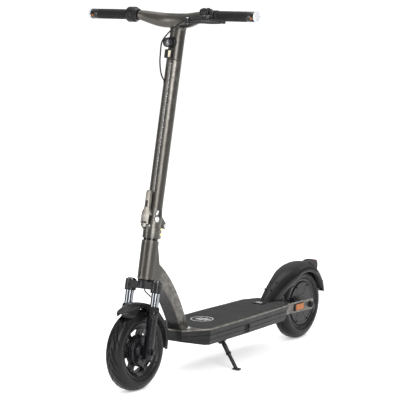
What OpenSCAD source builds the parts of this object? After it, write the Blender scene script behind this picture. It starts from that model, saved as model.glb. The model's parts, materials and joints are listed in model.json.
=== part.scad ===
// Electric kick scooter with a suspension fork, a folding stem and a hub motor.
// X points to the rider's left, Y to the rear and Z up. The origin is on the ground,
// midway between the front of the front tyre and the rear edge of the plate holder.

/* [Overall] */
// Distance between the two wheel axles
wheelbase = 950; // [860:1:1100]
// Width across both bar-end lamps
bar_span = 650; // [560:1:720]
// Height of the grips' axis above the ground
bar_height = 1167; // [1100:1:1240]
// Backward lean of the steering axis in degrees
rake = 12.6; // [11:0.2:14]
// Distance the front axle sits ahead of the steering axis
fork_offset = 5; // [0:1:8]
// Distance from the rear axle to the rear edge of the plate holder
tail_overhang = 164; // [160:1:180]

/* [Wheels] */
// Outside radius of both tyres
tyre_r = 127.5; // [124:0.5:130]
// Width of both tyres
tyre_w = 57; // [52:1:62]
// Width of the flat running band on each tyre
crown_w = 20; // [10:1:26]
// Outside radius of the rim lips
rim_r = 88; // [84:1:92]
// Width across the rim lips
rim_w = 46; // [42:1:50]
// Number of spokes in the front rim
spoke_count = 6; // [5:1:8]
// Radius of both axles
axle_r = 6; // [5:0.5:7]
// Inside radius of the front brake drum
drum_r = 46; // [40:1:50]

/* [Deck] */
// Width of the deck
deck_w = 204; // [180:1:230]
// Height of the deck's top plate above the ground
deck_top = 161; // [150:1:172]
// Thickness of the top plate
plate_t = 4; // [3:0.5:6]
// Width of the deck's front edge
deck_nose_w = 84; // [76:1:100]
// Distance from the front axle to the deck's front edge
deck_front = 190; // [180:1:200]
// Distance from the front edge to the full width
deck_nose_l = 80; // [60:1:100]
// Distance from the rear axle to the deck's rear edge
deck_rear_gap = 152; // [142:1:165]
// Depth of the battery case under the top plate
case_h = 51; // [44:1:54]
// Inward lean of the battery case's sides at the bottom
case_lean = 10; // [6:1:20]
// Wall thickness of the battery case
case_wall = 3; // [2:0.5:4]
// Thickness of the rubber mat
mat_t = 2; // [1.5:0.5:3]

/* [Neck] */
// Width of the neck that joins the head tube to the deck
neck_w = 52; // [46:1:56]
// Height of the head tube's lower end along the steering axis, from the axle
head_low = 224; // [218:1:232]
// Length of the head tube
head_len = 122; // [110:1:130]
// Radius of the head tube at the top
head_r = 27.5; // [26:0.5:29]
// Outside radius of the headset bearings
bearing_r = 21; // [20:0.5:22]
// Height of each headset bearing
bearing_h = 8; // [6:1:10]

/* [Fork] */
// Distance between the centres of the two fork legs
leg_gap = 102; // [100:1:112]
// Radius of the fixed upper legs
stanchion_r = 13.5; // [11:0.5:14]
// Radius of the sliding lower legs
leg_r = 16.5; // [16:0.5:17.5]
// Radius of the steering tube
steerer_r = 14.3; // [12.7:0.1:15]
// Suspension travel
travel = 30; // [20:1:34]
// Thickness of the front mudguard's shell
guard_t = 2.5; // [2:0.5:4]

/* [Folding joint] */
// Distance of the hinge pin behind the steering axis
pin_back = 38; // [36:1:44]
// Radius of the hinge pin
pin_r = 4; // [3:0.5:5]
// Width of the folding joint's hinge lobes
lobe_w = 38; // [34:1:44]
// Radius of the folding collar
collar_r = 27.5; // [26:0.5:29]
// Width of the folding lever
lever_w = 30; // [26:1:34]

/* [Stem and handlebar] */
// Radius of the stem tube
stem_r = 24.5; // [22:0.5:26]
// Wall thickness of the stem tube
stem_wall = 3; // [2:0.5:4]
// Height of the grips above the middle of the bar
bar_rise = 14; // [0:1:30]
// Distance of the middle of the bar ahead of the steering axis
bar_ahead = 14; // [10:1:18]
// Distance the grips sit ahead of the middle of the bar
bar_lead = 27; // [20:1:36]
// Radius of the bar under the grips
bar_r = 11.1; // [10:0.1:12.7]
// Outside radius of the grips
grip_r = 16; // [15:0.5:18]
// Length of each grip
grip_len = 118; // [100:1:130]
// Length of each bar-end lamp
lamp_len = 36; // [30:1:40]
// Length of the throttle housing
throttle_len = 42; // [36:1:50]

/* [Rear end] */
// Thickness of the rear dropout plates
arm_t = 6; // [4:0.5:8]
// Distance between the inner faces of the dropout plates
arm_gap = 104; // [96:1:108]
// Thickness of the rear mudguard's shell
tail_t = 3; // [2:0.5:4]
// Half width of the rear mudguard
tail_half = 47; // [44:1:50]

/* [Fits] */
// Radial clearance of shafts that turn or slide in a bore
running = 0.05; // [0.02:0.01:0.1]
// Gap between pieces that move past each other
free_gap = 0.4; // [0.3:0.1:0.8]

/* [Hidden] */
$fn = 48;
eps = 0.01;
black = [0.13, 0.13, 0.14];
taupe = [0.42, 0.40, 0.37];
silver = [0.72, 0.73, 0.75];

// Places along the row's Y axis
overall_len = tyre_r + wheelbase + tail_overhang;
front_y = tyre_r - overall_len / 2;

// Places along the steering axis, from the height of the front axle
head_top = head_low + head_len;
crown_low = head_low - 31;
crown_top = head_low - 8;
clamp_low = head_low - 40;
clamp_r = stanchion_r + 4.5;
seal_top = clamp_low - travel - 12;
seal_h = 16;
leg_top = seal_top - seal_h;
leg_low = -24;
bore_low = 12;
stanchion_low = bore_low + travel + 4;
collar_low = head_top + 7;
fold_s = collar_low + 45;
block_top = fold_s + 50;
bar_s = (bar_height - bar_rise - tyre_r) / cos(rake);
seam_s = bar_s - 132;
lamp_s = bar_s - 74;
reflector_s = bar_s - 116;
hole_s = bar_s - 203;

// Places on the handlebar, sideways from the middle
grip_end = bar_span / 2 - lamp_len;
grip_start = grip_end - grip_len;
elbow_x = 138;
bar_z = bar_height - tyre_r;
bar_y = bar_s * sin(rake) + fork_offset * cos(rake) - bar_ahead;
grip_y = bar_y - bar_lead;
throttle_in = throttle_len - grip_start;

// Places on the folding lever, along and ahead of the steering axis
lever_pin_y = -37;
lever_pin_s = fold_s - 6;
lever_step = 44;
lever_top = 110;
lever_front = 8;

// Deck levels and lengths from the front axle
case_top = deck_top - plate_t;
case_low = case_top - case_h;
deck_rear = wheelbase - deck_rear_gap;
deck_taper = deck_rear - 56;
deck_tail_w = arm_gap + 2 * arm_t + 12;
mat_front = deck_front + 68;
mat_rear = deck_rear - 14;
// Groove across the mat ahead of the catch plate: its rubber lies flat on both sides.
mat_groove = 2;
mat_edge = 9;
port_y = 489;
port_z = case_low + 17;
port_x = deck_w / 2 - 11;
stand_x = 50;
stand_y = 407;
stand_z = case_low - 14;
stand_tilt = 35;
stand_lean = -2.5;

// Rear mudguard
tail_in = tyre_r + 19;

// Moves children to the front axle, the rear axle, the ground under the front axle
// or the steering axis at the height of the front axle
module at_front() { translate([0, front_y, tyre_r]) children(); }
module at_rear() { translate([0, front_y + wheelbase, tyre_r]) children(); }
module at_ground() { translate([0, front_y, 0]) children(); }
module at_steer() { at_front() rotate([-rake, 0, 0]) translate([0, fork_offset, 0]) children(); }

// Round bar along X between two places
module rod_x(x0, x1, r) { translate([x0, 0, 0]) rotate([0, 90, 0]) cylinder(h = x1 - x0, r = r); }

// Round tube along X
module ring_x(x0, x1, r_out, r_in) {
  difference() {
    rod_x(x0, x1, r_out);
    rod_x(x0 - 1, x1 + 1, r_in);
  }
}

// Round tube along Z
module ring_z(z0, z1, r_out, r_in) {
  difference() {
    translate([0, 0, z0]) cylinder(h = z1 - z0, r = r_out);
    translate([0, 0, z0 - 1]) cylinder(h = z1 - z0 + 2, r = r_in);
  }
}

// Outline in the YZ plane made into a slab between two places along X
module slab_x(x0, x1, outline) {
  translate([x0, 0, 0]) rotate([90, 0, 90]) linear_extrude(height = x1 - x0) polygon(outline);
}

// The same slab centred on the middle plane
module slab_at(half, outline) { slab_x(-half, half, outline); }

// Closed solid through rings of points, each ring right-handed about the way ahead
module loft(rings) {
  n = len(rings[0]);
  m = len(rings);
  points = [for (ring = rings) for (p = ring) p];
  walls = [for (i = [0:m - 2]) for (j = [0:n - 1]) let (k = (j + 1) % n)
    each [[i * n + j, (i + 1) * n + j, (i + 1) * n + k], [i * n + j, (i + 1) * n + k, i * n + k]]];
  ends = [[for (j = [0:n - 1]) j], [for (j = [n - 1:-1:0]) (m - 1) * n + j]];
  polyhedron(points = points, faces = concat(walls, ends), convexity = 6);
}

function unit(v) = v / norm(v);
function heading(p, i) = unit(p[min(i + 1, len(p) - 1)] - p[max(i - 1, 0)]);
function across(t, last) = unit(last - t * (t * last));
function sides(p, i, last) = i == len(p) ? [] :
  let (s = across(heading(p, i), last)) concat([s], sides(p, i + 1, s));
function spline(a, b, c, d, t) =
  ((2 * b) + (c - a) * t + (2 * a - 5 * b + 4 * c - d) * t * t
  + (3 * b - a - 3 * c + d) * t * t * t) / 2;
function route(p, k) = concat([for (i = [0:len(p) - 2]) for (j = [0:k - 1])
  spline(p[max(i - 1, 0)], p[i], p[i + 1], p[min(i + 2, len(p) - 1)], j / k)], [p[len(p) - 1]]);
function bezier(a, b, c, t) = a * (1 - t) * (1 - t) + 2 * b * t * (1 - t) + c * t * t;
function mirrored(half) = concat(half, [for (i = [len(half) - 1:-1:0]) [-half[i][0], half[i][1]]]);

// Round tube swept along a route
module cord(p, r, n) {
  u = sides(p, 0, [0.31, 0.9, 0.2]);
  loft([for (i = [0:len(p) - 1]) let (v = cross(heading(p, i), u[i]))
    [for (k = [0:n - 1]) p[i] + r * (cos(360 * k / n) * u[i] + sin(360 * k / n) * v)]]);
}

// ---- Neck and head tube ----

neck_rear_top = [94, 389];
neck_rear_mid = [189, 316];
neck_crest = [neck_rear_top[0] - 8, neck_rear_top[1] + 62];
neck_front_top = [74, 342];
neck_front_mid = [162, 276];
neck_depth = 40;
neck_foot = deck_front + 17;
neck_steps = 12;
function neck_front(t, d) =
  bezier(neck_front_top, neck_front_mid, [neck_foot, deck_top], t) + [d, 0];
function neck_rear(t) =
  bezier(neck_rear_top, neck_rear_mid, [neck_foot + neck_depth, deck_top], t);
function neck_edge(d) = [for (i = [0:neck_steps]) neck_front(i / neck_steps, d)];

// Outline between two lines that follow the neck's front edge
function neck_strip(d0, d1) = let (a = neck_edge(d0), b = neck_edge(d1))
  concat(a, [for (i = [neck_steps:-1:0]) b[i]]);

// Place on the head tube's axis, behind the front axle and above the ground
function head_axis(s) = [fork_offset * cos(rake) + s * sin(rake),
  tyre_r + s * cos(rake) - fork_offset * sin(rake)];

module frame_neck() color(taupe) difference() {
  union() {
    at_steer() translate([0, 0, head_low]) cylinder(h = head_len, r1 = head_r - 1, r2 = head_r);
    at_ground() slab_x(-neck_w / 2, neck_w / 2,
      concat(neck_edge(0), [for (i = [neck_steps:-1:0]) neck_rear(i / neck_steps)],
        [neck_crest, head_axis(head_top - 22), head_axis(head_low)]));
  }
  at_ground() slab_x(-neck_w / 2 + 5, neck_w / 2 - 5, neck_strip(-3, 3));
  at_steer() translate([0, 0, head_low - 20]) cylinder(h = head_len + 40, r = steerer_r + 3);
  at_steer() translate([0, 0, head_low - 20]) cylinder(h = 20 + bearing_h, r = bearing_r);
  at_steer() translate([0, 0, head_top - bearing_h]) cylinder(h = 20, r = bearing_r);
  at_steer() translate([0, 0, head_low - 40]) cylinder(h = 40, r = head_r + 6);
}

module neck_panel() color(black) at_ground()
  intersection() {
    slab_x(-neck_w / 2 + 5, neck_w / 2 - 5, neck_strip(1, 3));
    translate([-neck_w, neck_front_top[0] + 14, 0]) cube([2 * neck_w, 200, 400]);
  }

module headset_bearings() color(silver) at_steer() {
  ring_z(head_low, head_low + bearing_h, bearing_r, steerer_r + running);
  ring_z(head_top - bearing_h, head_top, bearing_r, steerer_r + running);
}

// ---- Deck ----

// Deck outline seen from above, drawn in by a margin
deck_flare = (deck_w - deck_nose_w) / 2 / deck_nose_l;
function deck_outline(d, cut = 0) = mirrored([
  [deck_nose_w / 2 - d * 0.6 + cut * deck_flare, deck_front + d + cut],
  [deck_w / 2 - d, deck_front + deck_nose_l + d * 0.4],
  [deck_w / 2 - d, (deck_front + deck_rear) / 2],
  [deck_w / 2 - d - 9, deck_taper],
  [deck_tail_w / 2 - d * 0.6, deck_rear - d]]);

module deck_slab(z, h, d, cut = 0) {
  translate([0, 0, z]) linear_extrude(height = h) polygon(deck_outline(d, cut));
}

module deck_plate() color(taupe) at_ground() deck_slab(case_top, plate_t, 0);

// Charging socket in the case's left side
port_r = 8;

// Battery case as one solid, drawn in by a margin; its floor rises towards the nose
nose_rise = 15;
nose_cut = 62;
module case_body(d, z0, z1) {
  hull() {
    deck_slab(z1 - 1, 1, 2 + d);
    deck_slab(z0 + nose_rise, 1, case_lean * 0.7 + d);
    deck_slab(z0, 1, case_lean + d, nose_cut);
  }
}

module deck_case() color(black) at_ground() difference() {
  case_body(0, case_low, case_top);
  difference() {
    case_body(case_wall, case_low + case_wall, case_top + 1);
    translate([port_x - case_wall, port_y - 20, case_low]) cube([30, 40, case_h]);
  }
  rear_arm_plates(free_gap);
  translate([port_x, port_y - 14, port_z - 13]) cube([30, 28, 26]);
  translate([0, port_y, port_z]) rod_x(port_x - 20, port_x + 1, port_r);
}

module deck_mat() color([0.1, 0.1, 0.1])
  at_ground() translate([0, 0, deck_top]) difference() {
    linear_extrude(height = mat_t)
    intersection() {
      polygon(deck_outline(mat_edge));
      translate([-deck_w, mat_front]) square([2 * deck_w, mat_rear - mat_front]);
    }
    translate([-deck_w, catch_y - 3 * mat_groove, mat_t / 2]) cube([2 * deck_w, mat_groove, mat_t]);
  }

module battery_pack() color([0.2, 0.35, 0.55]) at_ground()
  translate([-64, deck_front + 150, case_low + case_wall]) cube([128, 300, case_h - case_wall - 8]);

module motor_controller() color(silver) at_ground()
  translate([-38, deck_rear - 140, case_low + case_wall]) cube([76, 100, case_h - case_wall - 12]);

module charge_port() color(black) at_ground() translate([0, port_y, port_z])
  difference() {
    rod_x(port_x - 16, port_x, port_r);
    rod_x(port_x - 12, port_x + 1, port_r - 3);
  }

cap_t = 3;
module charge_cap() color(black) at_ground() translate([port_x + free_gap, port_y, port_z]) {
  translate([0, -11, -10]) cube([cap_t, 22, 18]);
  translate([cap_t / 2, -9, 8]) rotate([-90, 0, 0]) cylinder(h = 18, r = cap_t / 2);
}

// Plate on the mat ahead of the mudguard, with a round hole for the folded stem's hook
catch_w = 44;
catch_l = 30;
catch_y = 692;
catch_t = 3;
catch_hole_r = 4;
module catch_plate() color(black) at_ground() translate([0, catch_y, deck_top + mat_t]) difference() {
  translate([-catch_w / 2, 0, 0]) cube([catch_w, catch_l, catch_t]);
  translate([0, catch_l / 2, -1]) cylinder(h = catch_t + 2, r = catch_hole_r);
}

// ---- Kickstand ----

stand_r = 6;
stand_pin_r = 3.5;
stand_cheek = 11;
stand_len = (stand_z - stand_r) / cos(stand_tilt);
stand_short = 2.5;
foot_w = 26;
foot_l = 15;
foot_t = 5;

// Moves children to the kickstand's pivot, with X along its pin
module at_stand() {
  at_ground() translate([stand_x, stand_y, stand_z]) rotate([0, -stand_tilt, 0]) children();
}

module kickstand_bracket() color(black) {
  at_ground() translate([stand_x - 24, stand_y - 20, case_low - 3]) cube([40, 40, 3]);
  difference() {
    at_stand() for (side = [-1, 1]) translate([side * stand_cheek - 2, 0, 0]) {
      rod_x(0, 4, 8);
      translate([0, -8, 0]) cube([4, 16, 40]);
    }
    at_ground() translate([-deck_w, 0, case_low]) cube([2 * deck_w, wheelbase, 100]);
  }
  at_stand() rod_x(-stand_cheek - 5, stand_cheek + 5, stand_pin_r);
}

module kickstand_leg() color(black) difference() {
  union() {
    at_stand() rod_x(-stand_cheek + 2 + free_gap, stand_cheek - 2 - free_gap, 7);
    at_stand() rotate([stand_lean, 0, 0]) {
      translate([0, 0, -stand_len]) cylinder(h = stand_len, r = stand_r);
      translate([0, 0, -46]) cylinder(h = 38, r = stand_r + 1.5);
      translate([0, 0, -51]) cylinder(h = 5, r = stand_r + 2.5);
    }
    stand_foot();
  }
  at_stand() rod_x(-20, 20, stand_pin_r + running);
  at_ground() translate([0, 0, stand_short - 50]) cube([2 * deck_w, wheelbase, 50]);
}

// Flat foot under the end of the leg, a little short so that the scooter leans on it
module stand_foot() {
  at_ground() translate([stand_x + stand_len * sin(stand_tilt) - foot_w / 2 + 3,
    stand_y + stand_len * sin(stand_lean) - foot_l / 2, stand_short]) cube([foot_w, foot_l, foot_t]);
}

// ---- Rear end ----

// Side outline of a dropout plate, from the rear axle
arm_start = -deck_rear_gap - 60;
arm_outline = [[arm_start, -12], [arm_start, 18], [-deck_rear_gap + 10, 24], [14, 21],
  [21, 14], [21, -13], [14, -18], [-deck_rear_gap + 10, -13]];

module rear_arm_plates(d) {
  translate([0, wheelbase, tyre_r]) for (side = [-1, 1]) translate([side * (arm_gap + arm_t) / 2, 0, 0])
    slab_x(-arm_t / 2 - d, arm_t / 2 + d, [for (p = arm_outline) p * (1 + d / 30)]);
}

module rear_arms() color(taupe) at_ground() difference() {
  rear_arm_plates(0);
  translate([0, wheelbase, tyre_r]) rod_x(-arm_gap, arm_gap, axle_r);
}

module side_reflectors() color("orange") at_rear() for (side = [-1, 1])
  translate([side * (arm_gap / 2 + arm_t + 2.5) - 2.5, -108, -9]) cube([5, 60, 25]);

nut_out = arm_gap / 2 + arm_t;
module rear_axle_nuts() color(black) at_rear() for (side = [-1, 1]) scale([side, 1, 1])
  difference() {
    union() {
      rod_x(nut_out, nut_out + 2, 12);
      translate([nut_out + 2, 0, 0]) rotate([0, 90, 0]) cylinder(h = 9, r = 10, $fn = 6);
      rod_x(nut_out + 11, nut_out + 14, 8);
    }
    rod_x(nut_out - 1, nut_out + 9, axle_r);
  }

module stator_axle() color(silver) at_rear() {
  rod_x(-nut_out - 8, nut_out + 8, axle_r);
  rod_x(-arm_gap / 2, -shell_half - 2, axle_r + 4);
  rod_x(shell_half + 2, arm_gap / 2, axle_r + 4);
  difference() {
    rod_x(-14, 14, shell_in - 5);
    for (a = [0:30:330]) rotate([a, 0, 0]) translate([-20, 0, shell_in - 14]) rod_x(0, 40, 5);
  }
}

shell_half = rim_w / 2 + 1;
shell_in = rim_r - 18;
cover_t = 4;
module rim_profile() polygon([[rim_r, -rim_w / 2], [rim_r, -rim_w / 2 + 3], [rim_r - 8, -rim_w / 2 + 5],
  [rim_r - 14, -10], [rim_r - 14, 10], [rim_r - 8, rim_w / 2 - 5], [rim_r, rim_w / 2 - 3],
  [rim_r, rim_w / 2], [rim_r - 4, rim_w / 2], [rim_r - 10, rim_w / 2 - 4],
  [rim_r - 17.5, 11], [rim_r - 17.5, -11], [rim_r - 10, -rim_w / 2 + 4], [rim_r - 4, -rim_w / 2]]);

module turned_x() { rotate([0, 90, 0]) rotate_extrude($fn = 96) children(); }

module hub_motor_shell() color(black) at_rear() difference() {
  union() {
    turned_x() rim_profile();
    rod_x(-shell_half, shell_half - cover_t, rim_r - 8);
  }
  rod_x(-shell_half + cover_t, shell_half, shell_in);
  rod_x(-shell_half - 1, shell_half, axle_r + running);
}

module hub_cover() color(black) at_rear() difference() {
  union() {
    rod_x(shell_half - cover_t, shell_half, rim_r - 12);
    rod_x(shell_half - eps, shell_half + 1.5, 30);
    for (a = [0:60:300]) rotate([a, 0, 0]) translate([0, 0, rim_r - 18])
      rod_x(shell_half - eps, shell_half + 2, 3.5);
  }
  rod_x(0, shell_half + 5, axle_r + running);
}

// Half section of a tyre, as distance from the middle plane and radius
bead_x = rim_w / 2 - 5.5;
tyre_out = [[crown_w / 2, tyre_r], [crown_w / 2 + 6, tyre_r - 1.8], [tyre_w / 2 - 6.5, tyre_r - 6.5],
  [tyre_w / 2 - 2.2, tyre_r - 13.5], [tyre_w / 2, tyre_r - 22], [tyre_w / 2 - 0.8, rim_r + 10],
  [tyre_w / 2 - 4.5, rim_r + 2], [bead_x + 1, rim_r + 0.5], [bead_x, rim_r - 6], [bead_x - 6, rim_r - 6]];
tyre_in = [[bead_x - 6, rim_r - 2], [tyre_w / 2 - 9, rim_r + 8], [tyre_w / 2 - 7, tyre_r - 20],
  [tyre_w / 2 - 12, tyre_r - 11], [crown_w / 2, tyre_r - 8]];
tyre_half = concat(tyre_out, tyre_in);
tyre_outline = [for (p = mirrored(tyre_half)) [p[1], p[0]]];

module tyre() turned_x() polygon(tyre_outline);

module rear_tyre() color(black) at_rear() tyre();

// Half section of the rear mudguard at an angle round the axle: outside radius at the
// middle, depth of the sides and half width
tail_angle_front = 168;
tail_angle_rear = 14;
tail_steps = 20;
function tail_angle(i) = tail_angle_rear + (tail_angle_front - tail_angle_rear) * i / tail_steps;
function tail_radius(a) = tail_in + tail_t + (a > 95 ? 60 * pow((a - 95) / 72, 2) : 0)
  + (a > 138 ? 18 * pow((a - 138) / 30, 2) : 0)
  - (a < 50 ? 3 : 0) * (50 - a) / 36;
function tail_drop(a) = 32 + (a > 110 ? 40 * (a - 110) / 57 : 0) - (a < 60 ? 12 * (60 - a) / 53 : 0);
function tail_wide(a) = tail_half - (a < 60 ? 7 * (60 - a) / 46 : 0)
  - (a > 125 ? 17 * (a - 125) / 42 : 0);
function arch(r, drop, wide) = [for (t = [0:15:180])
  [wide * cos(t) * (1 - 0.06 * sin(t)), r - drop + drop * pow(sin(t), 0.75)]];
function arch_ring(r, drop, wide, t) = concat(arch(r, drop, wide),
  let (b = arch(r - t, drop, wide - t)) [for (i = [len(b) - 1:-1:0]) b[i]]);
function turn_ring(ring, a) = [for (p = ring) [p[0], p[1] * cos(a), p[1] * sin(a)]];

// The front end of the mudguard stands flat on the mat
tail_foot = deck_top + mat_t - tyre_r + free_gap;
function foot_angle(r) = 180 - asin(tail_foot / r);
function tail_ring(i) = let (a = tail_angle(i), f = i / tail_steps)
  [for (p = arch_ring(tail_radius(a), tail_drop(a), tail_wide(a), tail_t))
    let (t = tail_angle_rear + (foot_angle(p[1]) - tail_angle_rear) * f)
      [p[0], p[1] * cos(t), p[1] * sin(t)]];

module rear_fender() color(black) at_rear() loft([for (i = [0:tail_steps]) tail_ring(i)]);

screw_angles = [148, 158];
module fender_screw_shafts() {
  for (a = screw_angles) rotate([a, 0, 0]) for (x = [-13, 13])
    translate([x, tail_radius(a) - 12, 0]) rotate([-90, 0, 0]) cylinder(h = 10, r = 3);
}

module fender_screws() color(silver) at_rear() {
  fender_screw_shafts();
  for (a = screw_angles) rotate([a, 0, 0]) for (x = [-13, 13])
    translate([x, tail_radius(a) - 2, 0]) rotate([-90, 0, 0]) cylinder(h = 2, r = 4.5);
}

module tail_lamp_housing() color(black) at_rear() difference() {
  slab_x(-20, 20, [[58, 122], [88, 143], [104, 142], [112, 128], [108, 94], [88, 88]]);
  rod_x(-60, 60, tail_in + tail_t, $fn = 180);
}

function lamp_face(z) = 112 - (128 - z) * 4 / 34;
module tail_lamp_lens() color("red") at_rear() difference() {
  slab_x(-17, 17, [[lamp_face(126), 126], [lamp_face(125) + 3, 124.5],
      [lamp_face(98) + 3, 97.5], [lamp_face(97), 97]]);
  rod_x(-60, 60, tail_in + tail_t, $fn = 180);
}

module plate_holder() color(black) at_rear()
  difference() {
    slab_x(-18, 18, [[tail_overhang - 40, 76], [tail_overhang - 32, 78], [tail_overhang, 19],
      [tail_overhang - 3, 17], [tail_overhang - 26, 24]]);
    rod_x(-60, 60, tail_in + tail_t, $fn = 180);
  }

// ---- Steering: crown, steerer and folding base ----

module steerer_tube() color(silver) at_steer()
  ring_z(crown_low, fold_s - 5, steerer_r, steerer_r - 2.5);

module fork_crown() color(black) at_steer() difference() {
  union() {
    translate([0, 0, crown_low]) cylinder(h = head_low - 0.5 - crown_low, r = bearing_r + 2);
    translate([-leg_gap / 2, -fork_offset - 14, crown_low]) cube([leg_gap, 28, crown_top - crown_low]);
    for (side = [-1, 1]) translate([side * leg_gap / 2, -fork_offset, clamp_low])
      cylinder(h = crown_top - clamp_low, r = clamp_r);
  }
  translate([0, 0, crown_low - 1]) cylinder(h = 60, r = steerer_r);
  for (side = [-1, 1]) translate([side * leg_gap / 2, -fork_offset, clamp_low - 1])
    cylinder(h = 60, r = stanchion_r);
}

module stanchions() color(silver) at_steer() for (side = [-1, 1])
  translate([side * leg_gap / 2, -fork_offset, 0]) {
    difference() {
      translate([0, 0, stanchion_low]) cylinder(h = crown_top - stanchion_low, r = stanchion_r);
      translate([0, 0, stanchion_low - 1]) cylinder(h = crown_low - stanchion_low, r = stanchion_r - 2);
    }
    translate([0, 0, crown_top]) cylinder(h = 5, r = stanchion_r + 1.5);
  }

lever_pin_r = 3;
lever_boss_r = 5;
bolt_r = 3;
bolt_head_r = bolt_r + 2;
bolt_half = 17;
bolt_places = [fold_s - 29, fold_s - 13];

// Collar that grips the steering tube, with the lower hinge tongue behind and two
// ears for the folding lever in front
module fold_base() color(taupe) at_steer() difference() {
  union() {
    translate([0, 0, head_top + 0.5]) cylinder(h = 8, r = collar_r - 5);
    translate([0, 0, collar_low]) cylinder(h = fold_s - free_gap / 2 - collar_low, r = collar_r);
    translate([-bolt_half, 0, collar_low + 2])
      cube([2 * bolt_half, collar_r + 1, fold_s - collar_low - 4]);
    tongue = lobe_w / 2 - 10 - free_gap;
    slab_at(tongue, [[collar_r - 6, fold_s - 26], [pin_back + 4, fold_s - 12],
      [pin_back + 4, fold_s], [collar_r - 6, fold_s - 1]]);
    translate([0, pin_back, fold_s]) rod_x(-tongue, tongue, pin_r + 5);
    for (side = [-1, 1]) translate([side * (lever_w / 2 - 4) - 4, 0, 0])
      slab_x(0, 8, [[-collar_r + 8, fold_s - 26], [lever_pin_y, lever_pin_s - 5],
        [lever_pin_y, lever_pin_s + 5], [-collar_r + 8, fold_s - 2]]);
    for (side = [-1, 1]) translate([side * (lever_w / 2 - 4) - 4, lever_pin_y, lever_pin_s])
      rod_x(0, 8, lever_boss_r);
  }
  for (side = [-1, 1]) translate([side * (lobe_w / 2 - 5) - 5 - free_gap, pin_back, fold_s])
    rod_x(0, 20, pin_r + 6 + free_gap);
  for (side = [-1, 1]) translate([side * lobe_w / 2, pin_back, fold_s])
    rod_x(-10 - free_gap, 10 + free_gap, pin_r + 6 + free_gap);
  translate([0, 0, head_top]) cylinder(h = fold_s - 5 - head_top, r = steerer_r);
  translate([0, 0, head_top]) cylinder(h = 100, r = steerer_r - 4);
  translate([0, pin_back, fold_s]) rod_x(-50, 50, pin_r);
  translate([0, lever_pin_y, lever_pin_s]) rod_x(-50, 50, lever_pin_r);
  for (s = bolt_places) translate([0, collar_r - 3, s]) {
    rod_x(-50, 50, bolt_r);
    rod_x(bolt_half, 50, bolt_head_r);
  }
}

module hinge_pin() color(silver) at_steer() {
  translate([0, pin_back, fold_s]) rod_x(-lobe_w / 2 - 0.5, lobe_w / 2 + 0.5, pin_r);
  for (side = [-1, 1]) translate([0, pin_back, fold_s]) scale([side, 1, 1])
    rod_x(lobe_w / 2 + free_gap, lobe_w / 2 + 3, pin_r + 2.5);
  translate([0, lever_pin_y, lever_pin_s]) rod_x(0.5 - lever_w / 2, lever_w / 2 - 0.5, lever_pin_r);
}

module pinch_bolts() color([0.8, 0.7, 0.45]) at_steer() for (s = bolt_places)
  translate([0, collar_r - 3, s]) {
    rod_x(-bolt_half, bolt_half, bolt_r);
    rod_x(bolt_half, bolt_half + 3, bolt_head_r);
  }

// ---- Fork lowers, mudguard and brake ----

module fork_legs() color(black) at_steer() for (side = [-1, 1])
  translate([side * leg_gap / 2, -fork_offset, 0]) difference() {
    union() {
      translate([0, 0, leg_low]) cylinder(h = leg_top - leg_low, r = leg_r);
      rod_x(-leg_r, leg_r, 13);
    }
    translate([0, 0, bore_low]) cylinder(h = leg_top, r = stanchion_r + running);
    rod_x(-40, 40, axle_r);
  }

module wiper_seals() color(black) at_steer() for (side = [-1, 1])
  translate([side * leg_gap / 2, -fork_offset, 0])
    ring_z(leg_top, seal_top, leg_r + 2, stanchion_r + running);

leg_in = leg_gap / 2 - leg_r;
module front_axle() color(silver) at_front() {
  rod_x(-leg_gap / 2 - leg_r - 8, leg_gap / 2 + leg_r + 8, axle_r);
  for (side = [-1, 1]) scale([side, 1, 1]) {
    rod_x(side > 0 ? plate_x + 9 : rim_w / 2 + 4, leg_in, axle_r + 3);
    difference() {
      translate([leg_gap / 2 + leg_r, 0, 0]) rotate([0, 90, 0]) cylinder(h = 6, r = 10, $fn = 6);
      rod_x(0, 100, axle_r);
    }
  }
}

guard_in = tyre_r + 20;
guard_steps = 16;
guard_front = 122;
guard_rear = -8;
function guard_angle(i) = guard_rear + (guard_front - guard_rear) * i / guard_steps;
function guard_radius(a) = guard_in + guard_t + (a > 96 ? 8 * pow((a - 96) / 30, 1.5) : 0)
  + (a < 40 ? 4 * (40 - a) / 48 : 0);
function guard_half(a) = tyre_w / 2 + 3.5 - (a > 110 ? 20 * pow((a - 110) / 12, 2) : 0)
  - (a < 20 ? 8 * (20 - a) / 28 : 0);
function guard_drop(a) = (a > 96 ? 16 + 14 * sin(180 * (a - 96) / 30) : 16) + (a < 60 ? 6 : 0);

module front_fender() color(black) at_front() {
  loft([for (i = [0:guard_steps]) let (a = guard_angle(i))
    turn_ring(arch_ring(guard_radius(a), guard_drop(a), guard_half(a), guard_t), a)]);
  rotate([-rake, 0, 0]) for (side = [-1, 1]) scale([side, 1, 1]) {
    translate([guard_half(80) - 2, -8, leg_top - 20]) cube([leg_in - guard_half(80) + 2, 16, 19.5]);
    translate([guard_half(80) - 2, -8, leg_top - 20]) cube([2, 16, 32]);
  }
}

plate_x = rim_w / 2 + 0.6;
cam_y = -28;
cam_z = -24;
module brake_plate() color(black) at_front() difference() {
  union() {
    rod_x(plate_x, plate_x + 3.4, drum_r + 3);
    rod_x(plate_x + 3, plate_x + 9, 12);
    translate([0, cam_y, cam_z]) rod_x(plate_x, plate_x + 6, 8);
    slab_x(plate_x + 3, plate_x + 7, [[-6, -10], [6, -10], [16, -62], [6, -64]]);
    for (side = [-1, 1]) intersection() {
      ring_x(plate_x - 18, plate_x, drum_r - 1.5, drum_r - 9);
      rotate([side * 90, 0, 0]) translate([0, -22, 12]) cube([100, 44, 60]);
    }
  }
  rod_x(0, 100, axle_r);
  translate([0, cam_y, cam_z]) rod_x(0, 100, cam_r + running);
}

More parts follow.
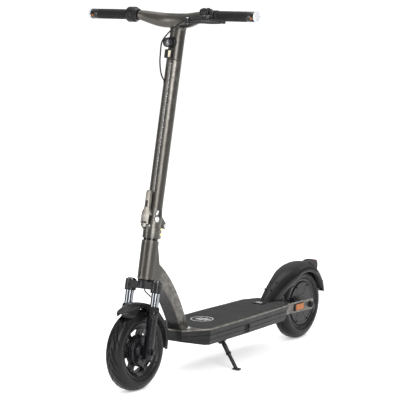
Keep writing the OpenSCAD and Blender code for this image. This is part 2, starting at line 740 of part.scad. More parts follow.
cam_r = 4;
arm_reach = 46;
arm_drop = -38;
module brake_arm() color(silver) at_front() translate([0, cam_y, cam_z]) {
  rod_x(plate_x - 10, plate_x + 13, cam_r);
  translate([plate_x + 7.5, 0, 0]) rotate([arm_drop, 0, 0]) difference() {
    union() {
      rod_x(0, 4, 8);
      translate([0, 0, -5]) cube([4, arm_reach, 10]);
      translate([0, arm_reach, 0]) rod_x(0, 4, 6);
    }
    translate([0, arm_reach, 0]) rod_x(-1, 5, 2.5);
  }
}

// Coil spring inside each fork leg
spring_turns = 9;
module fork_springs() color(silver) at_steer() for (side = [-1, 1])
  translate([side * leg_gap / 2, -fork_offset, bore_low + 2]) cord([for (i = [0:spring_turns * 10])
    [7 * cos(36 * i), 7 * sin(36 * i), (crown_low - bore_low - 8) * i / (spring_turns * 10)]], 1.5, 5);

// ---- Front wheel ----

hub_r = 20;
drum_floor = 4.5;
module front_rim() color(black) at_front() difference() {
  union() {
    difference() {
      union() {
        turned_x() rim_profile();
        rod_x(0, rim_w / 2, drum_r + 4);
        for (k = [0:spoke_count - 1]) rotate([37 + 360 * k / spoke_count, 0, 0])
          slab_x(-10, 8, [[-9, hub_r - 3], [9, hub_r - 3], [8, rim_r - 16], [-8, rim_r - 16]]);
      }
      rod_x(drum_floor, rim_w, drum_r);
    }
    rod_x(-rim_w / 2 + 2, rim_w / 2 - 4, hub_r);
  }
  rod_x(-rim_w, rim_w, wheel_bearing_r);
}

wheel_bearing_r = 13;
module wheel_bearings() color(silver) at_front() for (x = [-rim_w / 2 + 2, rim_w / 2 - 12])
  ring_x(x, x + 8, wheel_bearing_r, axle_r + running);

module front_tyre() color(black) at_front() tyre();

// ---- Stem ----

// Main tube, with the upper hinge lobes and a wider foot that sits on the collar
module stem_tube() color(taupe) at_steer() difference() {
  union() {
    translate([0, 0, fold_s + free_gap / 2]) cylinder(h = 24, r = collar_r);
    translate([0, 0, fold_s + free_gap / 2 + 24]) cylinder(h = 26, r1 = collar_r, r2 = stem_r);
    translate([0, 0, block_top - 1]) cylinder(h = seam_s - block_top + 1, r = stem_r);
    for (side = [-1, 1]) translate([side * (lobe_w / 2 - 5) - 5, 0, 0])
      slab_x(0, 10, [[10, fold_s + free_gap / 2], [pin_back, fold_s + free_gap / 2],
        [pin_back + pin_r + 5, fold_s + free_gap / 2], [pin_back + 4, fold_s + 10], [20, fold_s + 26]]);
    for (side = [-1, 1]) translate([side * (lobe_w / 2 - 5) - 5, pin_back, fold_s]) rod_x(0, 10, pin_r + 6);
  }
  translate([0, 0, fold_s + 12]) cylinder(h = seam_s, r = stem_r - stem_wall);
  translate([0, 0, fold_s - 1]) cylinder(h = 20, r = steerer_r - 4);
  translate([-60, -60, fold_s - 40]) cube([120, 60 + collar_r + 2 * free_gap, 40 + free_gap / 2]);
  translate([0, pin_back, fold_s]) rod_x(-50, 50, pin_r + running);
  translate([-lobe_w / 2 + 10, collar_r - 8, fold_s - 30]) cube([lobe_w - 20, 60, 30 + pin_r + 6]);
  rotate([0, 0, -29]) translate([0, 0, hole_s]) rotate([90, 0, 0]) cylinder(h = 60, r = 5);
}

wing_steps = 14;
function wing_x(i) = elbow_x * i / wing_steps;
function wing_lift(x) = pow(0.5 - 0.5 * cos(180 * min(abs(x) / elbow_x, 1)), 1.25);
function wing_ring(x) = let (w = wing_lift(x), ry = 20 - 5 * w, rz = 21 - 6.5 * w)
  [for (k = [0:19]) [x, bar_y - bar_lead * w + ry * cos(18 * k),
    bar_z - (bar_rise + 2) * (1 - w) + rz * sin(18 * k)]];

module handlebar() color(taupe) {
  at_front() {
    difference() {
      wing_space();
      translate([-display_w / 2, bar_y - 9, bar_z - bar_rise + 16]) cube([display_w, 60, 20]);
      translate([0, grip_y, bar_z]) rod_x(-bar_span, throttle_in + free_gap, grip_r + 12);
    }
    for (side = [-1, 1]) scale([side, 1, 1]) translate([0, grip_y, bar_z])
      rod_x(elbow_x - 40, bar_span / 2 - lamp_len + 10, bar_r);
  }
  at_steer() difference() {
    loft([for (p = neck_of_bar) [for (k = [0:23])
      [p[1] * cos(15 * k), p[2] * sin(15 * k) - p[3], p[0]]]]);
    translate([0, 0, seam_s - 1]) cylinder(h = 60, r = stem_r - stem_wall);
  }
}

// Sections of the bar's lower neck: height, half width, half depth and shift ahead
neck_of_bar = [[seam_s, stem_r, stem_r, 0], [bar_s - 50, stem_r, stem_r, 0],
  [bar_s - 34, stem_r + 2, stem_r, 0], [bar_s - 24, stem_r + 8, stem_r - 1, 2],
  [bar_s - 17, stem_r + 22, stem_r - 5, 4], [bar_s - 6, stem_r + 40, 16, 6]];

display_w = 74;
module display_panel() color([0.05, 0.05, 0.06]) at_front()
  translate([-display_w / 2 + 0.5, bar_y - 8.5, bar_z - bar_rise + 16]) cube([display_w - 1, 26, 3]);

module grips() color(black) at_front() for (side = [-1, 1])
  translate([0, grip_y, bar_z]) scale([side, 1, 1]) difference() {
    union() {
      rod_x(grip_start, grip_end, grip_r);
      rod_x(grip_start, grip_start + 4, grip_r + 2);
    }
    rod_x(grip_start - 1, grip_end + 1, bar_r);
  }

module bar_end_lamps() color(black) at_front() for (side = [-1, 1])
  translate([0, grip_y, bar_z]) scale([side, 1, 1]) difference() {
    rod_x(grip_end, bar_span / 2 - 8, grip_r);
    rod_x(grip_end - 1, grip_end + 10, bar_r);
  }

module bar_end_lenses() color([0.9, 0.9, 0.95]) at_front() for (side = [-1, 1])
  translate([0, grip_y, bar_z]) scale([side, 1, 1]) {
    rod_x(bar_span / 2 - 8, bar_span / 2 - 3, grip_r + 2);
    translate([bar_span / 2 - 3, 0, 0]) rotate([0, 90, 0]) cylinder(h = 3, r1 = grip_r + 2, r2 = grip_r - 1);
  }

// ---- Lamp and reflector on the stem ----

light_r = 15;
light_y = lamp_s * sin(rake) + fork_offset;
light_z = lamp_s * cos(rake) + 2;
module headlight_body() color(black) difference() {
  at_front() translate([0, light_y, light_z]) rotate([90, 0, 0]) {
    translate([0, 0, 10]) cylinder(h = stem_r - 4, r = light_r + 2);
    translate([0, 0, 10]) cylinder(h = stem_r + 20, r = light_r);
  }
  at_steer() translate([0, 0, lamp_s - 60]) cylinder(h = 120, r = stem_r);
  at_front() translate([0, light_y - stem_r - 24, light_z]) rotate([90, 0, 0])
    cylinder(h = 20, r = light_r - 2);
}

module headlight_lens() color([0.85, 0.9, 0.95]) at_front() translate([0, light_y - stem_r - 25, light_z])
  rotate([90, 0, 0]) cylinder(h = 3, r = light_r - 2);

module front_reflector() color("white") at_steer() difference() {
  union() {
    translate([-12, -stem_r - 17, reflector_s - 14]) cube([26, 8, 28]);
    translate([-5, -stem_r - 10, reflector_s + 2]) cube([12, 20, 10]);
  }
  cylinder(h = 2 * bar_s, r = stem_r);
}

// ---- Controls ----

perch_x = grip_start - 18;
lever_px = 92;
lever_py = grip_y - 44;
lever_pz = bar_z - 15;
lever_pivot_r = 2.5;
lever_t = 8;
perch_half = 9;
module brake_perch() color(black) at_front() {
  difference() {
    union() {
      translate([0, grip_y, bar_z]) rod_x(perch_x, perch_x + 14, bar_r + 5);
      hull() {
        translate([perch_x, grip_y - 26, bar_z - 20]) cube([14, 14, 18]);
        translate([lever_px - 5, lever_py - 7, lever_pz - perch_half]) cube([10, 14, 2 * perch_half]);
      }
      translate([lever_px, lever_py, lever_pz - perch_half]) cylinder(h = 2 * perch_half, r = 9);
    }
    translate([0, grip_y, bar_z]) rod_x(0, 400, bar_r);
    wing_space();
    lever_space();
  }
  translate([lever_px, lever_py, lever_pz - perch_half]) cylinder(h = 2 * perch_half + 2, r = lever_pivot_r);
}

// Room the brake lever sweeps through inside its perch
module lever_space() translate([lever_px, lever_py, lever_pz - lever_t / 2 - free_gap])
  linear_extrude(height = lever_t + 2 * free_gap) {
    circle(r = 8 + free_gap);
    polygon([[0, -20], [90, -20], [90, 21], [0, 4.5]]);
  }

module brake_lever() color(black) at_front() translate([lever_px, lever_py, lever_pz]) difference() {
  union() {
    translate([0, 0, -lever_t / 2]) cylinder(h = lever_t, r = 8);
    hull() {
      translate([4, -6, -3.5]) cube([10, 8, 7]);
      translate([70, -4, -4]) cube([4, 6, 8]);
    }
    hull() {
      translate([70, -4, -4]) cube([4, 6, 8]);
      translate([132, -2, -3]) cube([4, 5, 6]);
    }
    translate([138, 1, 0]) sphere(r = 5.5);
  }
  translate([0, 0, -20]) cylinder(h = 40, r = lever_pivot_r + running);
}

pod_x = 114;
pod_h = 20;
pocket_z = bar_z + 17;
module control_pod() color(black) at_front() difference() {
  translate([pod_x, grip_y - 14, bar_z + 2]) cube([34, 32, pod_h]);
  wing_space();
  translate([0, grip_y, bar_z]) rod_x(0, 400, bar_r);
  translate([pod_x + 4, grip_y - 8, pocket_z]) cube([14 + 2 * free_gap, 12, 10]);
  translate([pod_x + 27, grip_y - 2, pocket_z]) cylinder(h = 10, r = 5 + free_gap);
}
module wing_space() { loft([for (i = [-wing_steps:wing_steps]) wing_ring(wing_x(i))]); }

module indicator_switch() color([0.2, 0.2, 0.2]) at_front()
  translate([pod_x + 8 + free_gap, grip_y - 8 + free_gap, pocket_z + free_gap])
    cube([6, 12 - 2 * free_gap, 7]);

module horn_button() color([0.2, 0.2, 0.2]) at_front()
  translate([pod_x + 27, grip_y - 2, pocket_z + 2.5]) cylinder(h = 5.5, r = 5);

module throttle() color(black) at_front() translate([0, grip_y, bar_z]) difference() {
  union() {
    rod_x(-grip_start + free_gap, throttle_in - 8, grip_r + 8.5);
    translate([throttle_in - 8, 0, 0]) rotate([0, 90, 0]) cylinder(h = 8, r1 = grip_r + 8.5, r2 = grip_r + 4);
  }
  rod_x(-bar_span, 0, bar_r + running);
}

module fold_lever() color(taupe) at_steer() translate([0, lever_pin_y, lever_pin_s]) difference() {
  union() {
    slab_at(lever_w / 2, [[-lever_front, -6], [-lever_front, lever_step], [6, lever_step], [7, 14], [2, -6]]);
    slab_at(lever_w / 2 - 7, [[-lever_front, lever_step - 1], [-lever_front - 1, lever_top - 4],
      [-lever_front + 3, lever_top], [4, lever_top], [6, lever_step - 1]]);
  }
  slab_at(lever_w / 2 - 8 + free_gap, [[-4, 12], [-4, 30], [30, 30], [30, 12]]);
  rod_x(-50, 50, lever_pin_r + running);
  translate([-4, -20, lever_step + 12]) cube([8, 40, 20]);
  for (side = [-1, 1]) translate([side * (lever_w / 2 - 4) - 4 - free_gap, 0, 0]) {
    translate([0, -6, -30]) cube([8 + 2 * free_gap, 30, 62]);
    translate([0, -20, -30]) cube([8 + 2 * free_gap, 50, 33]);
  }
}

module fold_catch() color([0.05, 0.05, 0.05]) at_steer() translate([0, lever_pin_y, lever_pin_s])
  translate([-4 + free_gap, -lever_front, lever_step + 20]) cube([8 - 2 * free_gap, 12, 12 - free_gap]);

// ---- Brake cable, as places from the front axle ----

cable_r = 2.3;
upper_route = [[82, 150, 1024], [70, 148, 1020], [44, 148, 1004], [14, 152, 983], [-12, 157, 957],
  [-22, 163, 926], [-23, 161, 890], [-18, 161, 856], [-12, 168, 836], [-6, 182, 822]];
module cable_upper() color(black) at_front() cord(route(upper_route, 4), cable_r, 8);

lower_route = [[2, 48, 204], [3, 45, 193], [8, 40, 184], [18, 36, 179], [28, 39, 170], [35, 47, 157],
  [45, 55, 132], [50, 48, 104], [52, 40, 60], [50, 30, 10], [46, 20, -28], [39, 9, -50]];
module cable_lower() color(black) at_front() cord(route(lower_route, 4), cable_r, 8);

frame_neck();
neck_panel();
deck_plate();
deck_case();
deck_mat();
battery_pack();
motor_controller();
rear_arms();
rear_fender();
fender_screws();
tail_lamp_housing();
tail_lamp_lens();
plate_holder();
side_reflectors();
stator_axle();
rear_axle_nuts();
headset_bearings();
kickstand_bracket();
catch_plate();
charge_port();
charge_cap();
kickstand_leg();
hub_motor_shell();
hub_cover();
rear_tyre();
steerer_tube();
fork_crown();
stanchions();
fold_base();
hinge_pin();
pinch_bolts();
fork_legs();
wiper_seals();
front_fender();
brake_plate();
front_axle();
fork_springs();
cable_lower();
brake_arm();
front_rim();
front_tyre();
wheel_bearings();
stem_tube();
handlebar();
display_panel();
grips();
bar_end_lamps();
bar_end_lenses();
headlight_body();
headlight_lens();
front_reflector();
brake_perch();
control_pod();
cable_upper();
fold_lever();
fold_catch();
brake_lever();
throttle();
indicator_switch();
horn_button();
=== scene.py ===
# Electric kick scooter: the looks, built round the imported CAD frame.
# Lengths are in millimetres until a mesh is made, then metres.
import json
import math
import random
import bmesh
import bpy
from mathutils import Matrix, Vector


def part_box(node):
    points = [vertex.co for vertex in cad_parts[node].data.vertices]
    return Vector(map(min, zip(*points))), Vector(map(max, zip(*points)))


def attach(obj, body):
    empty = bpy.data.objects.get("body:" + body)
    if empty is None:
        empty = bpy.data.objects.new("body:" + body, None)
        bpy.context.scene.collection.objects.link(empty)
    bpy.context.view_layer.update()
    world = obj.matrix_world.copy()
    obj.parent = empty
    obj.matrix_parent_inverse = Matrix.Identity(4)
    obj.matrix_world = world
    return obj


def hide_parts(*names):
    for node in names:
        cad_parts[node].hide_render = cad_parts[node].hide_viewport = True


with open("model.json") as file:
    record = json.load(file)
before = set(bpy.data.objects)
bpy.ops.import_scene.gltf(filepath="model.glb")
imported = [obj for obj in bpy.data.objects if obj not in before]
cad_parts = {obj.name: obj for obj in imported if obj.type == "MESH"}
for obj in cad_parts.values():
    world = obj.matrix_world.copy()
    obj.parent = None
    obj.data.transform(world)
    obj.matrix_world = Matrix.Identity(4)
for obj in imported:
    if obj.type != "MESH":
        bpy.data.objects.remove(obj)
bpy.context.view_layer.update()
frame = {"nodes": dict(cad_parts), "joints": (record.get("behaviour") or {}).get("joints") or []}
TO_MM = 1000.0


# ---- Places, taken from the frame ----

def joint(name):
    return next(j for j in frame["joints"] if j["name"] == name)


def pivot(name):
    return Vector(joint(name)["pos_m"]) * TO_MM


def low(node):
    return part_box(node)[0] * TO_MM


def high(node):
    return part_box(node)[1] * TO_MM


def middle(node):
    return (low(node) + high(node)) / 2


def columns(origin, x, y, z):
    """Matrix that takes local millimetres to the row frame."""
    made = Matrix((x, y, z)).transposed().to_4x4()
    made.translation = origin
    return made


FRONT = pivot("front_wheel_spin")
REAR = pivot("rear_wheel_spin")
TYRE_R = FRONT.z
STEER_UP = Vector(joint("steer")["axis"]).normalized()
STEER_BACK = Vector((0, STEER_UP.z, -STEER_UP.y))
HEAD_LOW = 224
WORLD = Matrix.Identity(4)
AT_FRONT = Matrix.Translation(FRONT)
AT_REAR = Matrix.Translation(REAR)
AT_GROUND = Matrix.Translation(Vector((0, FRONT.y, 0)))
STEER_ROOT = pivot("steer") - STEER_UP * HEAD_LOW
AT_STEER = columns(STEER_ROOT, Vector((1, 0, 0)), STEER_BACK, STEER_UP)


# ---- Camera, floor and lamps ----

CAMERA_AT = Vector((3132.4, -4071.3, 1300.4))
CAMERA_TURN = 35.27
CAMERA_DOWN = 7.795
CAMERA_ROLL = 0.19
CAMERA_LENS = 149.48
# Brightness of the surroundings at the horizon, and their strength
STUDIO_LOW = 0.12
STUDIO_POWER = 1.0
# Glow that keeps the far floor as pale as the floor under the lamps
FLOOR_GLOW = 0.28
LAMP_AIM = (0, 0, 0.5)


def make_camera():
    data = bpy.data.cameras.new("camera")
    data.lens = CAMERA_LENS
    data.sensor_width = 36
    data.clip_end = 3000
    cam = bpy.data.objects.new("camera", data)
    place = (CAMERA_AT + Vector((0, FRONT.y, 0))) / TO_MM
    turn = (Matrix.Rotation(math.radians(CAMERA_TURN), 4, "Z")
            @ Matrix.Rotation(math.radians(90 - CAMERA_DOWN), 4, "X")
            @ Matrix.Rotation(math.radians(CAMERA_ROLL), 4, "Z"))
    cam.matrix_world = Matrix.Translation(place) @ turn
    bpy.context.scene.collection.objects.link(cam)
    bpy.context.scene.camera = cam


def area_lamp(name, place, aim, size, power, tint=(1, 1, 1)):
    data = bpy.data.lights.new(name, "AREA")
    data.shape = "RECTANGLE"
    data.size, data.size_y = size
    data.energy = power
    data.color = tint
    lamp = bpy.data.objects.new(name, data)
    lamp.location = place
    away = Vector(place) - Vector(aim)
    lamp.rotation_euler = away.to_track_quat("Z", "Y").to_euler()
    bpy.context.scene.collection.objects.link(lamp)


def make_lamps():
    area_lamp("key", (3.2, -2.6, 2.2), LAMP_AIM, (2.1, 3.0), 180)
    area_lamp("fill", (-1.9, -3.9, 1.4), LAMP_AIM, (1.0, 2.4), 45)
    area_lamp("rear", (1.8, 3.6, 2.8), LAMP_AIM, (2.6, 1.4), 15)
    area_lamp("top", (0, 0.2, 4.4), LAMP_AIM, (3.2, 3.2), 85)
    make_studio()
    bpy.context.scene.view_settings.view_transform = "Standard"
    bpy.context.scene.view_settings.look = "None"


def make_studio():
    """Pale surroundings: bright overhead, greyer near the horizon."""
    world = bpy.data.worlds.new("studio")
    world.use_nodes = True
    tree = world.node_tree
    back = tree.nodes["Background"]
    place = node_of(tree, "ShaderNodeTexCoord").outputs["Generated"]
    split = node_of(tree, "ShaderNodeSeparateXYZ")
    tree.links.new(place, split.inputs["Vector"])
    shade = node_of(tree, "ShaderNodeValToRGB")
    band = shade.color_ramp
    band.elements[0].position, band.elements[0].color = 0.0, (STUDIO_LOW, STUDIO_LOW, STUDIO_LOW, 1)
    band.elements[1].position, band.elements[1].color = 0.75, (1, 1, 1, 1)
    tree.links.new(split.outputs["Z"], shade.inputs["Fac"])
    tree.links.new(shade.outputs["Color"], back.inputs["Color"])
    back.inputs["Strength"].default_value = STUDIO_POWER
    bpy.context.scene.world = world


def make_floor():
    n, reach = 24, 600.0
    verts = [((i / n * 2 - 1) * reach, (j / n * 2 - 1) * reach, -0.0008)
             for j in range(n + 1) for i in range(n + 1)]
    faces = [(j * (n + 1) + i, j * (n + 1) + i + 1, (j + 1) * (n + 1) + i + 1, (j + 1) * (n + 1) + i)
             for j in range(n) for i in range(n)]
    mesh = bpy.data.meshes.new("floor")
    mesh.from_pydata(verts, [], faces)
    floor = bpy.data.objects.new("floor", mesh)
    floor.data.materials.append(floor_material())
    bpy.context.scene.collection.objects.link(floor)


# ---- Materials ----

def node_of(tree, kind, **values):
    made = tree.nodes.new(kind)
    for key, value in values.items():
        setattr(made, key, value)
    return made


class Surface:
    """One procedural material: a shader with colour, roughness and bump that vary over it."""

    def __init__(self, name, color, rough, metal=0.0, coat=0.0, specular=0.5):
        self.material = bpy.data.materials.new(name)
        self.material.use_nodes = True
        self.tree = self.material.node_tree
        self.shader = self.tree.nodes["Principled BSDF"]
        self.place = node_of(self.tree, "ShaderNodeTexCoord").outputs["Object"]
        self.color, self.rough = color, rough
        self.set("Base Color", (*color, 1))
        self.set("Roughness", rough)
        self.set("Metallic", metal)
        self.set("Specular IOR Level", specular)
        self.set("Coat Weight", coat)
        self.set("Coat Roughness", 0.12)
        self.height = None
        self.material.diffuse_color = (*color, 1)

    def set(self, socket, value):
        self.shader.inputs[socket].default_value = value

    def link(self, a, b):
        self.tree.links.new(a, b)

    def noise(self, scale, detail=3.0, rough=0.55, stretch=(1, 1, 1)):
        place = self.place
        if stretch != (1, 1, 1):
            shape = node_of(self.tree, "ShaderNodeMapping")
            shape.inputs["Scale"].default_value = stretch
            self.link(place, shape.inputs["Vector"])
            place = shape.outputs["Vector"]
        made = node_of(self.tree, "ShaderNodeTexNoise")
        made.inputs["Scale"].default_value = scale
        made.inputs["Detail"].default_value = detail
        made.inputs["Roughness"].default_value = rough
        self.link(place, made.inputs["Vector"])
        return made.outputs["Fac"]

    def ramp(self, factor, stops):
        made = node_of(self.tree, "ShaderNodeValToRGB")
        band = made.color_ramp
        while len(band.elements) < len(stops):
            band.elements.new(0.5)
        for element, (at, color) in zip(band.elements, stops):
            element.position = at
            element.color = (*color, 1)
        self.link(factor, made.inputs["Fac"])
        return made.outputs["Color"]

    def vary_color(self, scale, amount, tint=(1, 1, 1), stretch=(1, 1, 1)):
        """Colour that drifts a little lighter, darker and towards a tint."""
        dark = tuple(c * (1 - amount) for c in self.color)
        pale = tuple(min(1, c * (1 + amount) * t) for c, t in zip(self.color, tint))
        out = self.ramp(self.noise(scale, 4, 0.6, stretch), [(0.32, dark), (0.68, pale)])
        self.link(out, self.shader.inputs["Base Color"])
        self.base = out
        return self

    def mix_color(self, factor, color):
        """Lays a second colour over the first where factor is high."""
        made = node_of(self.tree, "ShaderNodeMix", data_type="RGBA")
        self.link(factor, made.inputs["Factor"])
        self.link(self.base, made.inputs[6])
        made.inputs[7].default_value = (*color, 1)
        self.link(made.outputs[2], self.shader.inputs["Base Color"])
        self.base = made.outputs[2]
        return self

    def steps(self, factor, low_at, high_at, low_to=0.0, high_to=1.0):
        made = node_of(self.tree, "ShaderNodeMapRange")
        for socket, value in zip(("From Min", "From Max", "To Min", "To Max"),
                                 (low_at, high_at, low_to, high_to)):
            made.inputs[socket].default_value = value
        self.link(factor, made.inputs["Value"])
        return made.outputs["Result"]

    def vary_rough(self, scale, amount, stretch=(1, 1, 1)):
        out = self.steps(self.noise(scale, 3, 0.6, stretch), 0.3, 0.7,
                         max(0.02, self.rough - amount), min(1, self.rough + amount))
        self.link(out, self.shader.inputs["Roughness"])
        return self

    def bump(self, height, strength, distance=0.0004):
        made = node_of(self.tree, "ShaderNodeBump")
        made.inputs["Strength"].default_value = strength
        made.inputs["Distance"].default_value = distance
        self.link(height, made.inputs["Height"])
        if self.height:
            self.link(self.height, made.inputs["Normal"])
        self.height = made.outputs["Normal"]
        self.link(self.height, self.shader.inputs["Normal"])
        return self

    def edge_wear(self, color, reach=0.56, strength=0.6):
        """Paler colour where the surface bulges, as on rubbed edges."""
        shape = node_of(self.tree, "ShaderNodeNewGeometry").outputs["Pointiness"]
        worn = self.steps(shape, reach, reach + 0.08, 0.0, strength)
        rubbed = self.steps(self.noise(60, 5, 0.7), 0.38, 0.62)
        both = node_of(self.tree, "ShaderNodeMath", operation="MULTIPLY")
        self.link(worn, both.inputs[0])
        self.link(rubbed, both.inputs[1])
        return self.mix_color(both.outputs[0], color)


def floor_material():
    made = Surface("floor_pale", (0.96, 0.96, 0.96), 0.8, specular=0.2)
    made.vary_color(1.2, 0.004).vary_rough(3, 0.05).bump(made.noise(40, 2), 0.02, 0.0001)
    made.shader.inputs["Emission Color"].default_value = (1, 1, 1, 1)
    made.shader.inputs["Emission Strength"].default_value = FLOOR_GLOW
    return made.material


def frame_paint_material():
    made = Surface("frame_paint_satin", (0.068, 0.064, 0.058), 0.32, metal=0.85, coat=0.04)
    made.vary_color(5, 0.03, (1.01, 1.0, 0.985)).vary_rough(26, 0.04)
    made.edge_wear((0.36, 0.345, 0.31), 0.56, 0.4)
    made.bump(made.noise(1900, 2), 0.10, 0.00012)
    return made.material


def frame_bare_material():
    """Paler satin paint of the folding lever, with brushing along it."""
    made = Surface("lever_satin", (0.20, 0.185, 0.165), 0.33, metal=0.85)
    made.vary_color(9, 0.08).vary_rough(40, 0.07, (1, 1, 0.05))
    made.edge_wear((0.80, 0.78, 0.74), 0.53, 0.9)
    made.bump(made.noise(900, 3, 0.6, (1, 1, 0.04)), 0.12, 0.0001)
    return made.material


def black_paint_material():
    made = Surface("black_satin_paint", (0.004, 0.004, 0.005), 0.28, coat=0.1, specular=0.22)
    made.vary_color(12, 0.16).vary_rough(32, 0.07)
    made.edge_wear((0.05, 0.05, 0.053), 0.56, 0.5)
    made.bump(made.noise(1600, 2), 0.12, 0.0001)
    return made.material


def black_plastic_material():
    made = Surface("black_plastic_grain", (0.004, 0.004, 0.0045), 0.34, specular=0.22)
    made.vary_color(9, 0.14).vary_rough(22, 0.08)
    made.edge_wear((0.04, 0.04, 0.043), 0.57, 0.4)
    made.bump(made.noise(2600, 4, 0.7), 0.3, 0.00012)
    return made.material


def gloss_black_material():
    made = Surface("gloss_black_plastic", (0.003, 0.003, 0.004), 0.16, coat=0.1, specular=0.35)
    made.vary_color(14, 0.2).vary_rough(55, 0.04).bump(made.noise(35, 2), 0.03, 0.0003)
    return made.material


def rubber_material():
    made = Surface("soft_black_rubber", (0.007, 0.007, 0.0075), 0.55, specular=0.17)
    made.vary_color(16, 0.15).vary_rough(45, 0.08)
    made.edge_wear((0.07, 0.07, 0.075), 0.56, 0.5)
    made.bump(made.noise(1800, 3, 0.7), 0.25, 0.00015)
    return made.material


def mat_material():
    made = Surface("deck_mat_rubber", (0.030, 0.030, 0.031), 0.66, specular=0.3)
    made.vary_color(7, 0.15).vary_rough(30, 0.1)
    made.mix_color(made.steps(made.noise(45, 6, 0.75), 0.60, 0.78, 0, 0.22), (0.10, 0.095, 0.09))
    made.bump(made.noise(1500, 3, 0.7), 0.35, 0.0002)
    return made.material


def tyre_material():
    made = Surface("tyre_rubber", (0.0045, 0.0045, 0.005), 0.34, specular=0.2)
    made.vary_color(11, 0.14).vary_rough(36, 0.08)
    made.mix_color(made.steps(made.noise(90, 5, 0.7), 0.58, 0.80, 0, 0.2), (0.05, 0.048, 0.045))
    made.bump(made.noise(1200, 4, 0.7), 0.3, 0.0002)
    return made.material


def steel_material():
    made = Surface("ground_steel", (0.58, 0.58, 0.60), 0.30, metal=1.0)
    made.vary_color(30, 0.10).vary_rough(90, 0.08, (0.2, 1, 1))
    made.bump(made.noise(700, 3, 0.6, (0.1, 1, 1)), 0.12, 0.0001)
    return made.material


def chrome_material():
    made = Surface("hard_chrome", (0.24, 0.25, 0.27), 0.08, metal=1.0)
    made.vary_color(18, 0.04).vary_rough(60, 0.03, (1, 1, 0.1))
    made.bump(made.noise(300, 2, 0.5, (1, 1, 0.05)), 0.02, 0.0001)
    return made.material


def aluminium_material():
    made = Surface("cast_aluminium", (0.70, 0.70, 0.72), 0.22, metal=1.0)
    made.vary_color(24, 0.08).vary_rough(70, 0.08)
    made.bump(made.noise(420, 4, 0.6), 0.10, 0.0002)
    return made.material


def bolt_gold_material():
    made = Surface("yellow_zinc", (0.76, 0.67, 0.47), 0.28, metal=1.0)
    made.vary_color(60, 0.16, (1.0, 0.95, 0.8)).vary_rough(80, 0.08)
    made.bump(made.noise(500, 3), 0.12, 0.0001)
    return made.material


def lens_material(name, color, rough, ribs=0.0, seen_through=0.55):
    made = Surface(name, color, rough, coat=0.5)
    made.vary_color(30, 0.05).vary_rough(80, 0.02)
    made.set("Transmission Weight", seen_through)
    made.set("IOR", 1.49)
    if ribs:
        made.bump(made.noise(ribs, 1, 0.4), 0.35, 0.0004)
    return made


def prism_material(name, color, glow=0.0):
    """Reflector: rows of tiny corner prisms under a clear face."""
    made = Surface(name, color, 0.2, coat=0.1, specular=0.3)
    cells = node_of(made.tree, "ShaderNodeTexVoronoi", distance="CHEBYCHEV")
    cells.inputs["Scale"].default_value = 170
    cells.inputs["Randomness"].default_value = 0.0
    made.link(made.place, cells.inputs["Vector"])
    dark = tuple(c * 0.25 for c in color)
    made.base = made.ramp(cells.outputs["Distance"], [(0.1, color), (0.75, dark)])
    made.link(made.base, made.shader.inputs["Base Color"])
    made.bump(cells.outputs["Distance"], 0.6, 0.0006)
    if glow:
        made.set("Emission Color", (*color, 1))
        made.set("Emission Strength", glow)
    return made


def wrap_material():
    made = Surface("battery_shrink_wrap", (0.05, 0.12, 0.30), 0.3, coat=0.3)
    made.vary_color(10, 0.1).vary_rough(30, 0.06).bump(made.noise(60, 3), 0.2, 0.0004)
    return made.material


def mark_material():
    made = Surface("printed_mark", (0.62, 0.62, 0.62), 0.45)
    made.vary_color(60, 0.10).vary_rough(60, 0.08).bump(made.noise(1500, 3), 0.2, 0.0001)
    return made.material


MAT = {}


def make_materials():
    MAT.update(
        frame_paint=frame_paint_material(), lever=frame_bare_material(),
        black_paint=black_paint_material(), black_plastic=black_plastic_material(),
        gloss_black=gloss_black_material(), grip_rubber=rubber_material(),
        mat_rubber=mat_material(), tyre=tyre_material(), steel=steel_material(),
        chrome=chrome_material(), aluminium=aluminium_material(), bolt_gold=bolt_gold_material(),
        clear_lens=lens_material("clear_ribbed_lens", (0.86, 0.88, 0.92), 0.10, 260).material,
        lamp_glass=lens_material("lamp_glass", (0.10, 0.105, 0.115), 0.07, 0, 0.5).material,
        red_lens=lens_material("red_lens", (0.60, 0.015, 0.01), 0.12, 300, 0.1).material,
        orange_reflector=prism_material("orange_prisms", (0.42, 0.11, 0.002), 0.0).material,
        white_reflector=prism_material("white_prisms", (0.74, 0.66, 0.48)).material,
        battery_wrap=wrap_material(), mark=mark_material())


# ---- Shapes: (points, faces) in local millimetres ----

def joined(*shapes):
    points, faces = [], []
    for more, sides in shapes:
        start = len(points)
        points += more
        faces += [tuple(start + k for k in side) for side in sides]
    return points, faces


def moved(shape, matrix):
    return [matrix @ Vector(p) for p in shape[0]], shape[1]


def shifted(shape, x=0, y=0, z=0):
    return moved(shape, Matrix.Translation((x, y, z)))


def turned(shape, degrees, axis="X"):
    return moved(shape, Matrix.Rotation(math.radians(degrees), 4, axis))


def across_x(shape):
    """The shape's mirror image on the other side."""
    return [Vector((-p[0], p[1], p[2])) for p in shape[0]], [tuple(reversed(f)) for f in shape[1]]


def pair(shape):
    return joined(shape, across_x(shape))


def lofted(rings, closed_ring=True, caps=True, loop=False):
    """Skin through rings of points; loop joins the last ring to the first."""
    n, m = len(rings[0]), len(rings)
    points = [Vector(p) for ring in rings for p in ring]
    faces = []
    for i in range(m if loop else m - 1):
        a, b = i * n, (i + 1) % m * n
        for j in range(n if closed_ring else n - 1):
            k = (j + 1) % n
            faces.append((a + j, a + k, b + k, b + j))
    if caps and not loop:
        faces.append(tuple(reversed(range(n))))
        faces.append(tuple(range((m - 1) * n, m * n)))
    return points, faces


